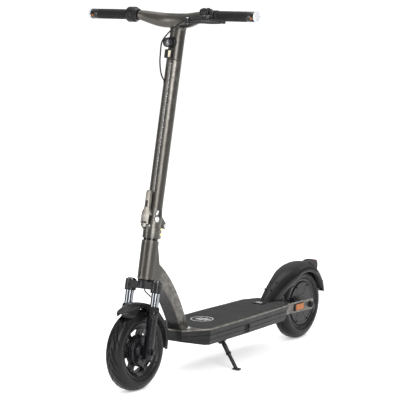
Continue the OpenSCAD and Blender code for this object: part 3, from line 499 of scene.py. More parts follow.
def lathe(profile, n=64, axis="X", loop=False):
    """Profile of (along, radius) turned about X or Z. With loop, the profile closes on itself."""
    def at(along, r, t):
        c, s = r * math.cos(t), r * math.sin(t)
        return (along, c, s) if axis == "X" else (c, s, along)

    turns = [2 * math.pi * k / n for k in range(n)]
    rings = [[at(a, r, t) for t in turns] for a, r in profile]
    return lofted(rings, loop=loop, caps=not loop)


def prism(outline, x0, x1):
    """Outline in the YZ plane, from x0 to x1."""
    return lofted([[(x, y, z) for y, z in outline] for x in (x0, x1)])


def slab(outline, z0, z1):
    """Outline in the XY plane, from z0 to z1."""
    return lofted([[(x, y, z) for x, y in outline] for z in (z0, z1)])


def brick(x0, x1, y0, y1, z0, z1):
    return prism([(y0, z0), (y1, z0), (y1, z1), (y0, z1)], x0, x1)


def spline_points(route, per=6):
    """Smooth curve through a few chosen points."""
    out = []
    p = [Vector(q) for q in route]
    for i in range(len(p) - 1):
        a, b, c, d = p[max(i - 1, 0)], p[i], p[i + 1], p[min(i + 2, len(p) - 1)]
        for j in range(per):
            t = j / per
            out.append((2 * b + (c - a) * t + (2 * a - 5 * b + 4 * c - d) * t * t
                        + (3 * b - a - 3 * c + d) * t ** 3) / 2)
    return out + [p[-1]]


def tube(route, radius, n=12):
    """Round tube along a route; radius is a number or a function of the share of the way."""
    size = radius if callable(radius) else (lambda share: radius)
    rings, last = [], Vector((0.31, 0.9, 0.2))
    for i, p in enumerate(route):
        ahead = (route[min(i + 1, len(route) - 1)] - route[max(i - 1, 0)]).normalized()
        side = (last - ahead * ahead.dot(last)).normalized()
        up = ahead.cross(side)
        r = size(i / (len(route) - 1))
        rings.append([p + r * (math.cos(2 * math.pi * k / n) * side + math.sin(2 * math.pi * k / n) * up)
                      for k in range(n)])
        last = side
    return lofted(rings)


def arc(cx, cy, r, start, end, n=8):
    """Points of an arc from one angle to another, in degrees."""
    return [(cx + r * math.cos(math.radians(start + (end - start) * k / n)),
             cy + r * math.sin(math.radians(start + (end - start) * k / n))) for k in range(n + 1)]


def rounded(points, radius, n=4):
    """Outline with its corners rounded by a radius."""
    out = []
    for i, p in enumerate(points):
        a, b = Vector(points[i - 1]) - Vector(p), Vector(points[(i + 1) % len(points)]) - Vector(p)
        cut = min(radius, a.length * 0.45, b.length * 0.45)
        start, end = Vector(p) + a.normalized() * cut, Vector(p) + b.normalized() * cut
        for k in range(n + 1):
            t = k / n
            q = start * (1 - t) ** 2 + 2 * Vector(p) * t * (1 - t) + end * t * t
            out.append(tuple(q))
    return out


def rounded_rect(x0, y0, x1, y1, r, steps=4):
    """Rectangle between two opposite corners, with its corners rounded."""
    return rounded([(x0, y0), (x1, y0), (x1, y1), (x0, y1)], r, steps)


def cap_screw(r, h, n=24):
    """Socket-head screw along +X with its underside at 0."""
    return lathe([(0, r * 0.9), (0, r), (h * 0.8, r), (h, r * 0.86), (h, r * 0.52), (h * 0.45, r * 0.48)], n)


# ---- Pieces ----

def add(name, shape, material, body, at=WORLD, bevel=0.0, smooth=40, subdivide=0,
        stands_for=(), segments=2, solid=0.0, edge=30):
    """Makes one piece from a shape in local millimetres and sets it on its body."""
    mesh = bpy.data.meshes.new(name)
    mesh.from_pydata([tuple((at @ Vector(p)) / TO_MM) for p in shape[0]], [], shape[1])
    mesh.validate()
    obj = bpy.data.objects.new(name, mesh)
    bpy.context.scene.collection.objects.link(obj)
    fix_normals(mesh)
    mesh.materials.append(MAT[material])
    finish_shape(obj, bevel, smooth, subdivide, segments, solid, edge)
    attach(obj, body)
    if stands_for:
        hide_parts(*stands_for)
    return obj


def fix_normals(mesh):
    work = bmesh.new()
    work.from_mesh(mesh)
    bmesh.ops.remove_doubles(work, verts=work.verts, dist=1e-6)
    bmesh.ops.recalc_face_normals(work, faces=work.faces)
    work.to_mesh(mesh)
    work.free()


def finish_shape(obj, bevel, smooth, subdivide, segments, solid=0.0, edge=30):
    if solid:
        wall = obj.modifiers.new("wall", "SOLIDIFY")
        wall.thickness = solid / TO_MM
        wall.offset = -1
    if bevel:
        round_off = obj.modifiers.new("edges", "BEVEL")
        round_off.width = bevel / TO_MM
        round_off.segments = segments
        round_off.limit_method = "ANGLE"
        round_off.angle_limit = math.radians(edge)
        round_off.harden_normals = True
    if subdivide:
        soften = obj.modifiers.new("soften", "SUBSURF")
        soften.levels = soften.render_levels = subdivide
    obj.data.shade_smooth()
    obj.data.set_sharp_from_angle(angle=math.radians(smooth))


def keep_node(node, material, bevel=0.6, smooth=35, segments=2, edge=30):
    """Keeps a CAD node as it is, with softened edges and a finished material."""
    obj = frame["nodes"][node]
    obj.data.materials.clear()
    obj.data.materials.append(MAT[material])
    finish_shape(obj, bevel, smooth, 0, segments, edge=edge)


# ---- Wheels ----

TYRE_HALF = 28.5
RIM_R = 88
RIM_HALF = 23
TREAD_PERIODS = 22
TREAD_STEPS = 16
TREAD_DEPTH = 3.0
TREAD_EDGE = 23.0


def tyre_section():
    """Half section of the tyre from the middle of the tread to the bead, as (across, radius)."""
    crown = [(0, TYRE_R - 0.1), (2.2, TYRE_R - 0.12), (2.6, TYRE_R - 0.14), (6, TYRE_R - 0.3)]
    crown += [(10, TYRE_R - 0.8), (14, TYRE_R - 1.7), (18, TYRE_R - 3.6), (21.5, TYRE_R - 7)]
    side = [(TREAD_EDGE + 0.4, TYRE_R - 9.8), (24.6, TYRE_R - 12.2), (26.6, TYRE_R - 16),
            (28.0, TYRE_R - 20)]
    side += [(TYRE_HALF, TYRE_R - 24), (28.3, TYRE_R - 28), (27.6, TYRE_R - 28.4), (27.2, TYRE_R - 32)]
    side += [(25.6, RIM_R + 4.5), (25.9, RIM_R + 3.6), (23.6, RIM_R + 1.5), (20.4, RIM_R - 0.5),
             (18, RIM_R - 5)]
    return crown + side


def groove_skew(across):
    """Angle in degrees that a groove has swept by, at a distance from the middle."""
    share = min(across, TREAD_EDGE) / TREAD_EDGE
    return 30 * share ** 1.3


def groove_depth(step, across, left):
    if not 2.4 < across < TREAD_EDGE + 1:
        return 0
    k = (step + (0 if left else TREAD_STEPS // 2)) % TREAD_STEPS
    long_one = (step // TREAD_STEPS) % 2 == 0
    reach = TREAD_EDGE + 1 if long_one else 16
    return TREAD_DEPTH if k in (0, 1, 2) and across < reach else 0


def tyre_shape():
    half = tyre_section()
    rings = []
    total = TREAD_PERIODS * TREAD_STEPS
    for step in range(total):
        ring = []
        for left, points in ((True, reversed(half)), (False, half[1:])):
            for across, r in points:
                turn = math.radians(360 * step / total + groove_skew(across))
                r -= groove_depth(step, across, left)
                x = across if left else -across
                ring.append((x, r * math.cos(turn), r * math.sin(turn)))
        for x in (-10, 10):
            turn = math.radians(360 * step / total + groove_skew(20))
            ring.append((x, (RIM_R - 5) * math.cos(turn), (RIM_R - 5) * math.sin(turn)))
        rings.append(ring)
    return lofted(rings, loop=True)


def rim_hoop():
    """Closed section of the rim's channel and lips."""
    lip = [(RIM_HALF, RIM_R - 0.6), (RIM_HALF - 0.8, RIM_R), (RIM_HALF - 2.4, RIM_R - 0.2),
           (RIM_HALF - 4, RIM_R - 6), (12, RIM_R - 11), (10, RIM_R - 14)]
    under = [(9, RIM_R - 18.5), (13, RIM_R - 17.5), (17, RIM_R - 12), (RIM_HALF - 3, RIM_R - 9),
             (RIM_HALF - 0.6, RIM_R - 5)]
    right = [(-x, r) for x, r in reversed(lip)]
    right_under = [(-x, r) for x, r in reversed(under)]
    return lathe(lip + right + right_under + under, 96, loop=True)


def spoke(x0, x1, inner, outer, wide_in, wide_out):
    """One tapered spoke along +Z with a hollow down the middle of each face."""
    rings = []
    for k in range(9):
        t = k / 8
        r = inner + (outer - inner) * t
        w = wide_in + (wide_out - wide_in) * math.sin(math.pi / 2 * t) ** 0.8
        w += 7 * max(0, t - 0.8) ** 1.2 * 4 + 6 * max(0, 0.18 - t) * 4
        dip = 2.4 * math.sin(math.pi * min(1, max(0, (t - 0.05) / 0.9))) ** 0.5
        rings.append([(x0, -w, r), (x0, -w * 0.55, r), (x0 + dip, -w * 0.35, r), (x0 + dip, w * 0.35, r),
                      (x0, w * 0.55, r), (x0, w, r),
                      (x1, w, r), (x1, w * 0.55, r), (x1 - dip, w * 0.35, r), (x1 - dip, -w * 0.35, r),
                      (x1, -w * 0.55, r), (x1, -w, r)])
    return lofted(rings)


SPOKES = 6
SPOKE_TURN = 37
DRUM_R = 46


def front_wheel():
    add("front_tyre_treaded", tyre_shape(), "tyre", "front_wheel", AT_FRONT, smooth=32,
        stands_for=("front_tyre",))
    spokes = [turned(spoke(-10, 8, 17, RIM_R - 16, 9, 7.5), SPOKE_TURN + 360 * k / SPOKES)
              for k in range(SPOKES)]
    drum = lathe([(0, 21), (0, DRUM_R + 2.5), (1, DRUM_R + 4), (7, DRUM_R + 4), (8, DRUM_R + 3.2),
                  (9, DRUM_R + 4), (15, DRUM_R + 4), (16, DRUM_R + 3.2), (17, DRUM_R + 4),
                  (RIM_HALF - 1, DRUM_R + 4), (RIM_HALF, DRUM_R + 3), (RIM_HALF, DRUM_R),
                  (4.5, DRUM_R), (4.5, 21)], 72, loop=True)
    hub = lathe([(-21, 13), (-21, 18), (-20, 19.5), (-12, 20), (-8, 22), (6, 22), (10, 20), (18, 20),
                 (19, 19), (19, 13)], 48, loop=True)
    add("front_rim_spoked", joined(rim_hoop(), drum, hub, *spokes), "black_paint", "front_wheel",
        AT_FRONT, bevel=0.7, stands_for=("front_rim",))
    add("front_hub_seal", lathe([(-21.6, 7), (-21.6, 12.4), (-20.9, 12.9), (-20.9, 7)], 40, loop=True),
        "grip_rubber", "front_wheel", AT_FRONT)
    add("front_rim_bright_lip", pair(lathe([(RIM_HALF - 0.1, RIM_R - 1.4), (RIM_HALF + 0.15, RIM_R - 0.9),
        (RIM_HALF + 0.15, RIM_R - 2.2), (RIM_HALF - 0.1, RIM_R - 2.6)], 96, loop=True)),
        "gloss_black", "front_wheel", AT_FRONT)
    keep_node("wheel_bearings", "steel", 0.2)


def hub_face(r_out, x):
    """Cast side of the hub motor, with ribs between shallow pockets."""
    parts = [lathe([(x - 4, r_out - 4), (x - 4, r_out), (x - 0.8, r_out), (x, r_out - 1), (x, r_out - 7),
                    (x - 1.4, r_out - 8.5), (x - 1.4, 34), (x, 32.5), (x, 22), (x + 1.4, 20), (x + 1.4, 7),
                    (x - 4, 7)], 96, loop=True)]
    for k in range(6):
        rib = prism(rounded([(-7, 31), (7, 31), (9, r_out - 7.5), (-9, r_out - 7.5)], 2, 3),
                    x - 1.6, x - 0.7)
        parts.append(turned(rib, 60 * k + 30))
    return joined(*parts)


def rear_wheel():
    face = RIM_HALF + 1
    add("rear_tyre_treaded", tyre_shape(), "tyre", "rear_wheel", AT_REAR, smooth=32,
        stands_for=("rear_tyre",))
    shell = lathe([(-face, 6.2), (-face, 30), (-face + 1.2, 32), (-face + 1.2, 66), (-face, 68),
                   (-face, 76), (-face + 1.5, 79), (face - 5, 79), (face - 4.2, 76), (face - 4.2, 70),
                   (-face + 4, 70), (-face + 4, 6.2)], 96, loop=True)
    add("hub_motor_casting", joined(rim_hoop(), shell), "black_paint", "rear_wheel", AT_REAR,
        bevel=0.5, stands_for=("hub_motor_shell",))
    add("hub_cover_casting", hub_face(76, face), "black_paint", "rear_wheel", AT_REAR, bevel=0.5,
        stands_for=("hub_cover",))
    screws = [turned(shifted(cap_screw(3.4, 2.2), face - 0.2, 0, 70), 60 * k + 30) for k in range(6)]
    add("hub_cover_screws", joined(*screws), "black_plastic", "rear_wheel", AT_REAR, bevel=0.2)


# ---- Mudguards ----

def arch(r, drop, wide, n=24):
    """Cross-section of a mudguard as (across, radius), from one side over to the other."""
    out = []
    for k in range(n + 1):
        t = math.pi * k / n
        out.append((wide * math.cos(t) * (1 - 0.06 * math.sin(t)),
                    r - drop + drop * max(math.sin(t), 0) ** 0.75))
    return out


def arch_ring(r, drop, wide, wall):
    inner = arch(r - wall, drop, wide - wall)
    lip = 0.6
    return arch(r, drop, wide) + [(inner[-1][0], inner[-1][1] - lip)] + inner[::-1][1:-1] \
        + [(inner[0][0], inner[0][1] - lip)]


def swept(ring, degrees):
    return [(x, r * math.cos(math.radians(degrees)), r * math.sin(math.radians(degrees))) for x, r in ring]


TAIL_REAR, TAIL_FRONT, TAIL_WALL = 14, 168, 3
TAIL_R = TYRE_R + 22
TAIL_HALF = 47


def tail_radius(a):
    return TAIL_R + (60 * ((a - 95) / 72) ** 2 if a > 95 else 0) \
        + (18 * ((a - 138) / 30) ** 2 if a > 138 else 0) - (3 * (50 - a) / 36 if a < 50 else 0)


def tail_drop(a):
    return 32 + (40 * (a - 110) / 57 if a > 110 else 0) - (12 * (60 - a) / 53 if a < 60 else 0)


def tail_wide(a):
    return TAIL_HALF - (7 * (60 - a) / 46 if a < 60 else 0) - (17 * (a - 125) / 42 if a > 125 else 0)


def rear_fender():
    foot = high("deck_mat").z - TYRE_R + 0.4
    steps, rings = 56, []
    for i in range(steps + 1):
        share = i / steps
        a = TAIL_REAR + (TAIL_FRONT - TAIL_REAR) * share
        ring = []
        for x, r in arch_ring(tail_radius(a), tail_drop(a), tail_wide(a), TAIL_WALL):
            end = 180 - math.degrees(math.asin(foot / r))
            t = math.radians(TAIL_REAR + (end - TAIL_REAR) * share)
            ring.append((x, r * math.cos(t), r * math.sin(t)))
        rings.append(ring)
    add("rear_mudguard", lofted(rings), "black_plastic", "frame", AT_REAR, smooth=50,
        stands_for=("rear_fender",))


def fender_screw_heads():
    heads = []
    for a in (148, 158):
        for x in (-13, 13):
            screw = turned(cap_screw(3.4, 2.2), -90, "Y")
            heads.append(turned(shifted(screw, x, 0, tail_radius(a) - 3.2), a - 90))
    add("mudguard_screw_heads", joined(*heads), "black_paint", "frame", AT_REAR, bevel=0.2,
        stands_for=("fender_screws",))


GUARD_REAR, GUARD_FRONT, GUARD_WALL = -8, 122, 2.5
GUARD_R = TYRE_R + 22.5


def guard_radius(a):
    return GUARD_R + (8 * ((a - 96) / 30) ** 1.5 if a > 96 else 0) + (4 * (40 - a) / 48 if a < 40 else 0)


def guard_half(a):
    return TYRE_HALF + 3.5 - (20 * ((a - 110) / 12) ** 2 if a > 110 else 0) \
        - (8 * (20 - a) / 28 if a < 20 else 0)


def guard_drop(a):
    return (11 + 17 * math.sin(math.radians(180 * (a - 96) / 30)) if a > 96 else 11) + \
        11 * min(1, max(0, (60 - a) / 10))


def front_fender():
    steps, rings = 52, []
    for i in range(steps + 1):
        a = GUARD_REAR + (GUARD_FRONT - GUARD_REAR) * i / steps
        rings.append(swept(arch_ring(guard_radius(a), guard_drop(a), guard_half(a), GUARD_WALL), a))
    shell = lofted(rings)
    stays = moved(pair(joined(
        brick(guard_half(80) - 2, 34.5, -7, 7, 107, 125),
        brick(guard_half(80) - 2, guard_half(80), -6, 6, 107, 138))), Matrix.Rotation(
            -math.atan2(STEER_UP.y, STEER_UP.z), 4, "X"))
    add("front_mudguard", shell, "black_plastic", "fork_lowers", AT_FRONT, smooth=50,
        stands_for=("front_fender",))
    add("front_mudguard_stays", stays, "black_plastic", "fork_lowers", AT_FRONT, bevel=1.2)
    bridge = []
    for x in (-14, 14):
        bridge.append(turned(shifted(turned(cap_screw(3.4, 2), -90, "Y"), x, 0, guard_radius(70) - 2.8),
                             -20))
    add("mudguard_bolts", joined(*bridge), "steel", "fork_lowers", AT_FRONT, bevel=0.2)


# ---- Rear end ----

def rear_end():
    keep_node("rear_arms", "frame_paint", 1.2)
    keep_node("stator_axle", "steel", 0.3)
    nut_x = high("rear_arms").x
    nut = joined(
        lathe([(nut_x, 7), (nut_x, 12.2), (nut_x + 1.8, 12.2), (nut_x + 2, 11.6), (nut_x + 2, 7)], 40,
              loop=True), lathe([(nut_x + 2, 10), (nut_x + 10, 10), (nut_x + 11, 9)], 6),
        lathe([(nut_x + 9, 8.6), (nut_x + 12, 8.2), (nut_x + 13.6, 6.5), (nut_x + 14, 3),
               (nut_x + 14, 0.4)], 40))
    add("rear_cap_nuts", pair(nut), "black_paint", "frame", AT_REAR, bevel=0.4,
        stands_for=("rear_axle_nuts",))
    side_reflectors(nut_x)
    tail_lamp()
    plate_bracket()


def side_reflectors(x):
    lo, hi = low("side_reflectors") - REAR, high("side_reflectors") - REAR
    frame_box = prism(rounded_rect(lo.y, lo.z, hi.y, hi.z, 3), x, x + 3.4)
    face = prism(rounded_rect(lo.y + 8, lo.z + 2, hi.y - 2, hi.z - 2, 2), x + 3, x + 5)
    add("side_reflector_bases", pair(frame_box), "black_plastic", "frame", AT_REAR, bevel=0.6)
    add("side_reflector_faces", pair(face), "orange_reflector", "frame", AT_REAR, bevel=0.4,
        stands_for=("side_reflectors",))


def lamp_side(inset=0):
    """Outline of the tail lamp seen from the side."""
    points = [(56, 138.6), (70, 140), (88, 143.5), (104, 142.5), (112, 128), (108.3, 103), (105, 106),
              (80, 126.4)]
    centre = Vector((92, 126))
    return [tuple(centre + (Vector(p) - centre) * (1 - inset / 30)) for p in points]


def tail_lamp():
    shell = prism(rounded(lamp_side(), 4), -20, 20)
    add("tail_lamp_shell", shell, "black_plastic", "frame", AT_REAR, bevel=2.2, segments=3,
        stands_for=("tail_lamp_housing",))
    lens = prism(rounded([(101, 143.2), (105.4, 143.4), (108, 139.5), (113.6, 127), (111.9, 102), (109, 101),
                          (106, 104), (108, 127), (103, 138)], 1.2), -16.8, 16.8)
    add("tail_lamp_lens_moulding", lens, "red_lens", "frame", AT_REAR, bevel=0.8,
        stands_for=("tail_lamp_lens",))
    seam = prism(rounded([(86, 143.2), (104, 142.3), (104.5, 143.0), (86, 144.0)], 0.3), -14, 14)
    add("tail_lamp_seam", seam, "gloss_black", "frame", AT_REAR, bevel=0.2)


def plate_bracket():
    rear = high("plate_holder").y - REAR.y
    arm = prism([(rear - 30, 78), (rear - 26, 81), (rear - 3.6, 66), (rear - 5, 60)], -9, 9)
    leaf = prism(rounded([(rear - 12.2, 60), (rear - 8.6, 61), (rear, 19), (rear - 4, 17.6)], 1), -18, 18)
    foot = prism([(rear - 28, 26), (rear - 3, 17), (rear - 4, 24), (rear - 26, 34)], -9, 9)
    add("plate_holder_leaf", joined(arm, leaf, foot), "black_plastic", "frame", AT_REAR, bevel=0.8,
        stands_for=("plate_holder",))
    heads = [shifted(turned(cap_screw(2.6, 1.6), 90, "Z"), x, rear - 8.2, 44) for x in (-9, 9)]
    add("plate_holder_screws", joined(*heads), "steel", "frame", AT_REAR, bevel=0.1)


# ---- Deck and neck ----

DECK_W = 204
DECK_FRONT = 190
DECK_NOSE_W, DECK_NOSE_L = 84, 80
DECK_TAIL_W = 128
MAT_EDGE = 9


def deck_half_outline(margin=0.0):
    """One side of the deck from the front edge to the rear edge, as (across, behind the front axle)."""
    rear = high("deck_plate").y - FRONT.y
    return [(DECK_NOSE_W / 2 - margin * 0.6, DECK_FRONT + margin),
            (DECK_W / 2 - margin, DECK_FRONT + DECK_NOSE_L + margin * 0.4),
            (DECK_W / 2 - margin, (DECK_FRONT + rear) / 2),
            (DECK_W / 2 - margin - 9, rear - 56), (DECK_TAIL_W / 2 - margin * 0.6, rear - margin)]


def half_width(outline, y):
    """How far an outline reaches to the side at a place along the deck."""
    for (xa, ya), (xb, yb) in zip(outline, outline[1:]):
        if ya <= y <= yb:
            return xa + (xb - xa) * (y - ya) / (yb - ya)
    return 0


def deck():
    keep_node("deck_plate", "frame_paint", 1.4, segments=3)
    keep_node("deck_case", "black_plastic", 3.2, segments=3, edge=12)
    keep_node("battery_pack", "battery_wrap", 2.0)
    keep_node("motor_controller", "aluminium", 1.0)
    top = high("deck_plate").z
    case_low = low("deck_case").z
    side = deck_half_outline(16)
    floor = [(x, y) for x, y in side[1:-1]] + [(-x, y) for x, y in reversed(side[1:-1])]
    floor_y = [(x, max(y, DECK_FRONT + 88)) for x, y in floor]
    add("case_floor_cover", slab(rounded(floor_y, 8, 5), case_low - 1.4, case_low + 2), "black_paint",
        "frame", AT_GROUND, bevel=0.7)
    add("deck_edge_trim", side_rail(top - 4, -2.2), "frame_paint", "frame", AT_GROUND, bevel=0.5)
    add("case_upper_ridge", side_rail(top - 22, -3.6, 2.2), "black_plastic", "frame", AT_GROUND, bevel=0.5)
    add("case_lower_ridge", side_rail(top - 38, -6.4, 1.8), "black_plastic", "frame", AT_GROUND, bevel=0.5)
    deck_mat(top)
    catch_plate()
    charge_port()


def side_rail(top, inset, tall=1.4):
    """Thin moulding along both sides of the deck at one height."""
    out = []
    line = deck_half_outline(0)
    for (xa, ya), (xb, yb) in zip(line, line[1:]):
        ahead = Vector((xb - xa, yb - ya, 0)).normalized()
        out_way = Vector((ahead.y, -ahead.x, 0))
        a, b = Vector((xa, ya, 0)), Vector((xb, yb, 0))
        ring = [(-1.0, top), (0.6, top - 0.2), (0.6, top - tall), (-1.0, top - tall - 0.2)]
        out.append(lofted([[p + out_way * (d + inset) + Vector((0, 0, z)) for d, z in ring]
                           for p in (a, b)]))
    return pair(joined(*out))


def deck_mat(top):
    """Rubber mat: a thin sheet with rows of small raised blocks."""
    lo, hi = low("deck_mat") - Vector((0, FRONT.y, 0)), high("deck_mat") - Vector((0, FRONT.y, 0))
    line = deck_half_outline(MAT_EDGE)
    front, rear = lo.y, hi.y
    half = [(half_width(line, front), front), (half_width(line, line[1][1]), line[1][1]), line[2],
            (half_width(line, rear), rear)]
    sheet_outline = half + [(-x, y) for x, y in reversed(half)]
    base = slab(rounded(sheet_outline, 6, 4), top, top + 1.0)
    blocks, pitch_x, pitch_y = [], 5.4, 9.0
    rows = int((rear - front - 6) / pitch_y)
    for r in range(rows):
        y0 = front + 3 + r * pitch_y
        y1 = y0 + pitch_y - 1.6
        reach = min(half_width(line, y0), half_width(line, y1)) - 2.5
        count = int(reach / pitch_x)
        for c in range(-count, count + 1):
            x = c * pitch_x
            ring = [(x - 1.9, y0), (x + 1.9, y0), (x + 1.9, y1), (x - 1.9, y1)]
            crown = [(x - 1.3, y0 + 0.6), (x + 1.3, y0 + 0.6), (x + 1.3, y1 - 0.6), (x - 1.3, y1 - 0.6)]
            blocks.append(lofted([[(*p, top + 0.6) for p in ring], [(*p, top + 1.9) for p in crown]]))
    add("deck_mat_ribbed", joined(base, *blocks), "mat_rubber", "frame", AT_GROUND, smooth=25,
        stands_for=("deck_mat",))
    deck_mark(top + 1.9, front + 116)


def deck_mark(z, y):
    """Plain oval badge on the mat: a ring round three slanted bars."""
    wide, deep = 38, 38
    ring = []
    for k in range(64):
        t = 2 * math.pi * k / 64
        ring.append([(d * wide * math.cos(t) - 8, y + d * deep * math.sin(t), h)
                     for d, h in ((0.94, z - 0.4), (0.94, z + 0.1), (1, z + 0.1), (1, z - 0.4))])
    parts = [lofted(ring, loop=True)]
    for shift, long in ((-16, 14), (0, 22), (16, 14)):
        bar = [(shift - 3, -long), (shift + 3, -long), (shift + 11, long), (shift + 5, long)]
        parts.append(slab([(x - 8, y + v) for x, v in rounded(bar, 2, 3)], z - 0.4, z + 0.1))
    add("deck_badge", joined(*parts), "mark", "frame", AT_GROUND)


def catch_plate():
    lo, hi = low("catch_plate"), high("catch_plate")
    outline = rounded_rect(lo.x, lo.y, hi.x, hi.y, 7, 5)
    base = slab(outline, lo.z, hi.z)
    centre = (lo + hi) / 2
    mark = [[(centre.x + r * math.cos(2 * math.pi * k / 40),
              centre.y + r * 0.8 * math.sin(2 * math.pi * k / 40), z)
             for r, z in ((10, hi.z - 0.2), (10, hi.z + 0.15), (11.4, hi.z + 0.15), (11.4, hi.z - 0.2))]
            for k in range(40)]
    bars = [slab(rounded([(centre.x + s - 1, centre.y - 4), (centre.x + s + 1, centre.y - 4),
                          (centre.x + s + 3, centre.y + 4), (centre.x + s + 1, centre.y + 4)], 0.6, 2),
                 hi.z - 0.2, hi.z + 0.15) for s in (-5, 0, 5)]
    add("catch_plate_glossy", base, "gloss_black", "frame", bevel=1.0, segments=3,
        stands_for=("catch_plate",))
    add("catch_plate_badge", joined(lofted(mark, loop=True), *bars), "mark", "frame")


def charge_port():
    keep_node("charge_port", "black_plastic", 0.5)
    lo, hi = low("charge_cap"), high("charge_cap")
    cap = prism(rounded_rect(lo.y, lo.z, hi.y, hi.z, 5, 5), lo.x, hi.x - 0.8)
    grip = prism(rounded_rect(lo.y + 4, lo.z + 2, hi.y - 4, lo.z + 6, 1.5), hi.x - 1, hi.x)
    add("charge_cap_rubber", joined(cap, grip), "grip_rubber", "charge_cap", bevel=0.7,
        stands_for=("charge_cap",))


def weld_bead(route, r, seed):
    """Row of overlapping weld ripples along a route."""
    rng = random.Random(seed)
    line = spline_points(route, 14)
    return tube(line, lambda s: r * (1 + 0.16 * math.sin(s * len(line) * 1.9) + 0.06 * rng.random()), 10)


def neck():
    keep_node("frame_neck", "frame_paint", 2.6, segments=3, edge=32)
    keep_node("neck_panel", "black_paint", 0.5)
    keep_node("headset_bearings", "steel", 0.3)
    top = high("deck_plate").z
    y0, y1 = 207, 248
    half = 26
    route = [(-half, y0 + 4, top + 1), (-half - 1, y0 + 16, top + 1), (-half - 1, y1 - 4, top + 1),
             (-half + 6, y1 + 1, top + 1), (0, y1 + 2, top + 1), (half - 6, y1 + 1, top + 1),
             (half + 1, y1 - 4, top + 1), (half + 1, y0 + 16, top + 1), (half, y0 + 4, top + 1)]
    add("neck_weld", weld_bead(route, 2.6, 3), "frame_paint", "frame", AT_GROUND)
    head_rings()
    gusset()


def head_rings():
    """Turned cups at both ends of the head tube."""
    length = 122
    low_cup = lathe([(HEAD_LOW - 0.3, 17), (HEAD_LOW - 0.3, 24.5), (HEAD_LOW + 1.4, 26.2),
                     (HEAD_LOW + 3, 26.9), (HEAD_LOW + 3, 22)], 64, "Z", loop=True)
    up = HEAD_LOW + length
    top_cup = lathe([(up - 3, 22), (up - 3, 27.9), (up - 1.4, 27.6), (up + 0.2, 26), (up + 0.2, 17)],
                    64, "Z", loop=True)
    add("head_cups", joined(low_cup, top_cup), "frame_paint", "frame", AT_STEER, bevel=0.3)


def gusset():
    """Small bright foot plates with a bolt beside the neck."""
    top = high("deck_plate").z
    plate = slab(rounded([(28, 222), (44, 226), (44, 246), (28, 250)], 4, 4), top, top + 1.6)
    bolt = shifted(turned(cap_screw(4.4, 3.4), -90, "Y"), 36, 237, top + 1.4)
    add("neck_foot_plates", pair(plate), "aluminium", "frame", AT_GROUND, bevel=0.5)
    add("neck_foot_bolts", pair(bolt), "steel", "frame", AT_GROUND, bevel=0.2)


def kickstand():
    keep_node("kickstand_bracket", "black_paint", 0.8)
    keep_node("kickstand_leg", "black_paint", 0.6)
    axis = Vector(joint("kickstand_fold")["axis"]).normalized()
    up = Vector((-axis.z, 0, axis.x))
    at = columns(pivot("kickstand_fold"), axis, Vector((0, 1, 0)), up)
    lean = Matrix.Rotation(math.radians(-2.5), 4, "X")
    rings = [moved(lathe([(-s - 2.0, 5.8), (-s - 1.4, 6.7), (-s - 0.6, 6.7), (-s, 5.8)], 20, "Z"), lean)
             for s in (56 + 4.2 * k for k in range(10))]
    add("kickstand_ribs", joined(*rings), "black_paint", "kickstand", at)
    cap = moved(lathe([(-53, 6), (-52.4, 9), (-47, 9), (-45.5, 8)], 28, "Z"), lean)
    add("kickstand_collar", cap, "grip_rubber", "kickstand", at)
    spring = [(Vector((0, 11 + 2.6 * math.cos(2 * math.pi * k / 10), -4 - 0.32 * k))
               + Vector((2.6 * math.sin(2 * math.pi * k / 10), 0, 0))) for k in range(80)]
    add("kickstand_spring", tube(spring, 0.7, 6), "steel", "kickstand", at)


# ---- Fork and brake ----

LEG_X = 51
LEG_R = 16.5
LEG_V = -5
SEAL_LOW, SEAL_TOP = 126, 142


def fork():
    keep_node("stanchions", "chrome", 0.5)
    keep_node("steerer_tube", "steel", 0.2)
    keep_node("fork_springs", "steel", 0)
    keep_node("front_axle", "black_paint", 0.5)
    keep_node("fork_crown", "black_paint", 1.8, segments=3, edge=28)
    crown_details()
    legs()
    brake()


def crown_details():
    top = 216
    cap = joined(lathe([(top - 1, 10), (top - 1, 17.6), (top + 2.5, 17.4), (top + 4, 16), (top + 4.6, 12),
                        (top + 5.6, 11.6), (top + 7.5, 11), (top + 8, 9.5), (top + 8, 4.5), (top + 6, 4)],
                       48, "Z"))
    ring = lathe([(183.8, 13.7), (183.8, 17.2), (185.5, 18.5), (188, 18.5), (188, 13.7)], 48, "Z", loop=True)
    clamp = []
    for s in (192, 206):
        head = turned(cap_screw(3.0, 2.6), 90, "Z")
        clamp.append(shifted(head, -7, 17.4, s))
    cut = brick(-0.6, 0.6, 14, 18.4, 185, 215)
    place = Matrix.Translation((LEG_X, LEG_V, 0))
    add("fork_leg_caps", pair(moved(cap, place)), "gloss_black", "steering", AT_STEER, bevel=0.3)
    add("fork_clamp_rings", pair(moved(ring, place)), "black_paint", "steering", AT_STEER, bevel=0.3)
    add("fork_clamp_bolts", pair(moved(joined(*clamp), place)), "steel", "steering", AT_STEER, bevel=0.1)
    add("fork_clamp_slots", pair(moved(cut, place)), "grip_rubber", "steering", AT_STEER, bevel=0.2)
    dust = lathe([(217.6, 15), (217.6, 22.4), (219, 24.2), (222.5, 24.6), (223.4, 23.4), (223.4, 15)],
                 64, "Z", loop=True)
    add("lower_dust_seal", dust, "grip_rubber", "steering", AT_STEER, bevel=0.2)


def leg_profile():
    return [(-24, 10), (-24, 13), (-22.4, 14.8), (-18, 15.4), (16, 15.6), (22, 16.0), (60, 16.2),
            (104, 16.4), (108, 16.5), (110, 17.3), (SEAL_LOW - 3, 17.4), (SEAL_LOW - 1, 17), (SEAL_LOW, 16),
            (SEAL_LOW, 13.65), (14, 13.65), (14, 2)]


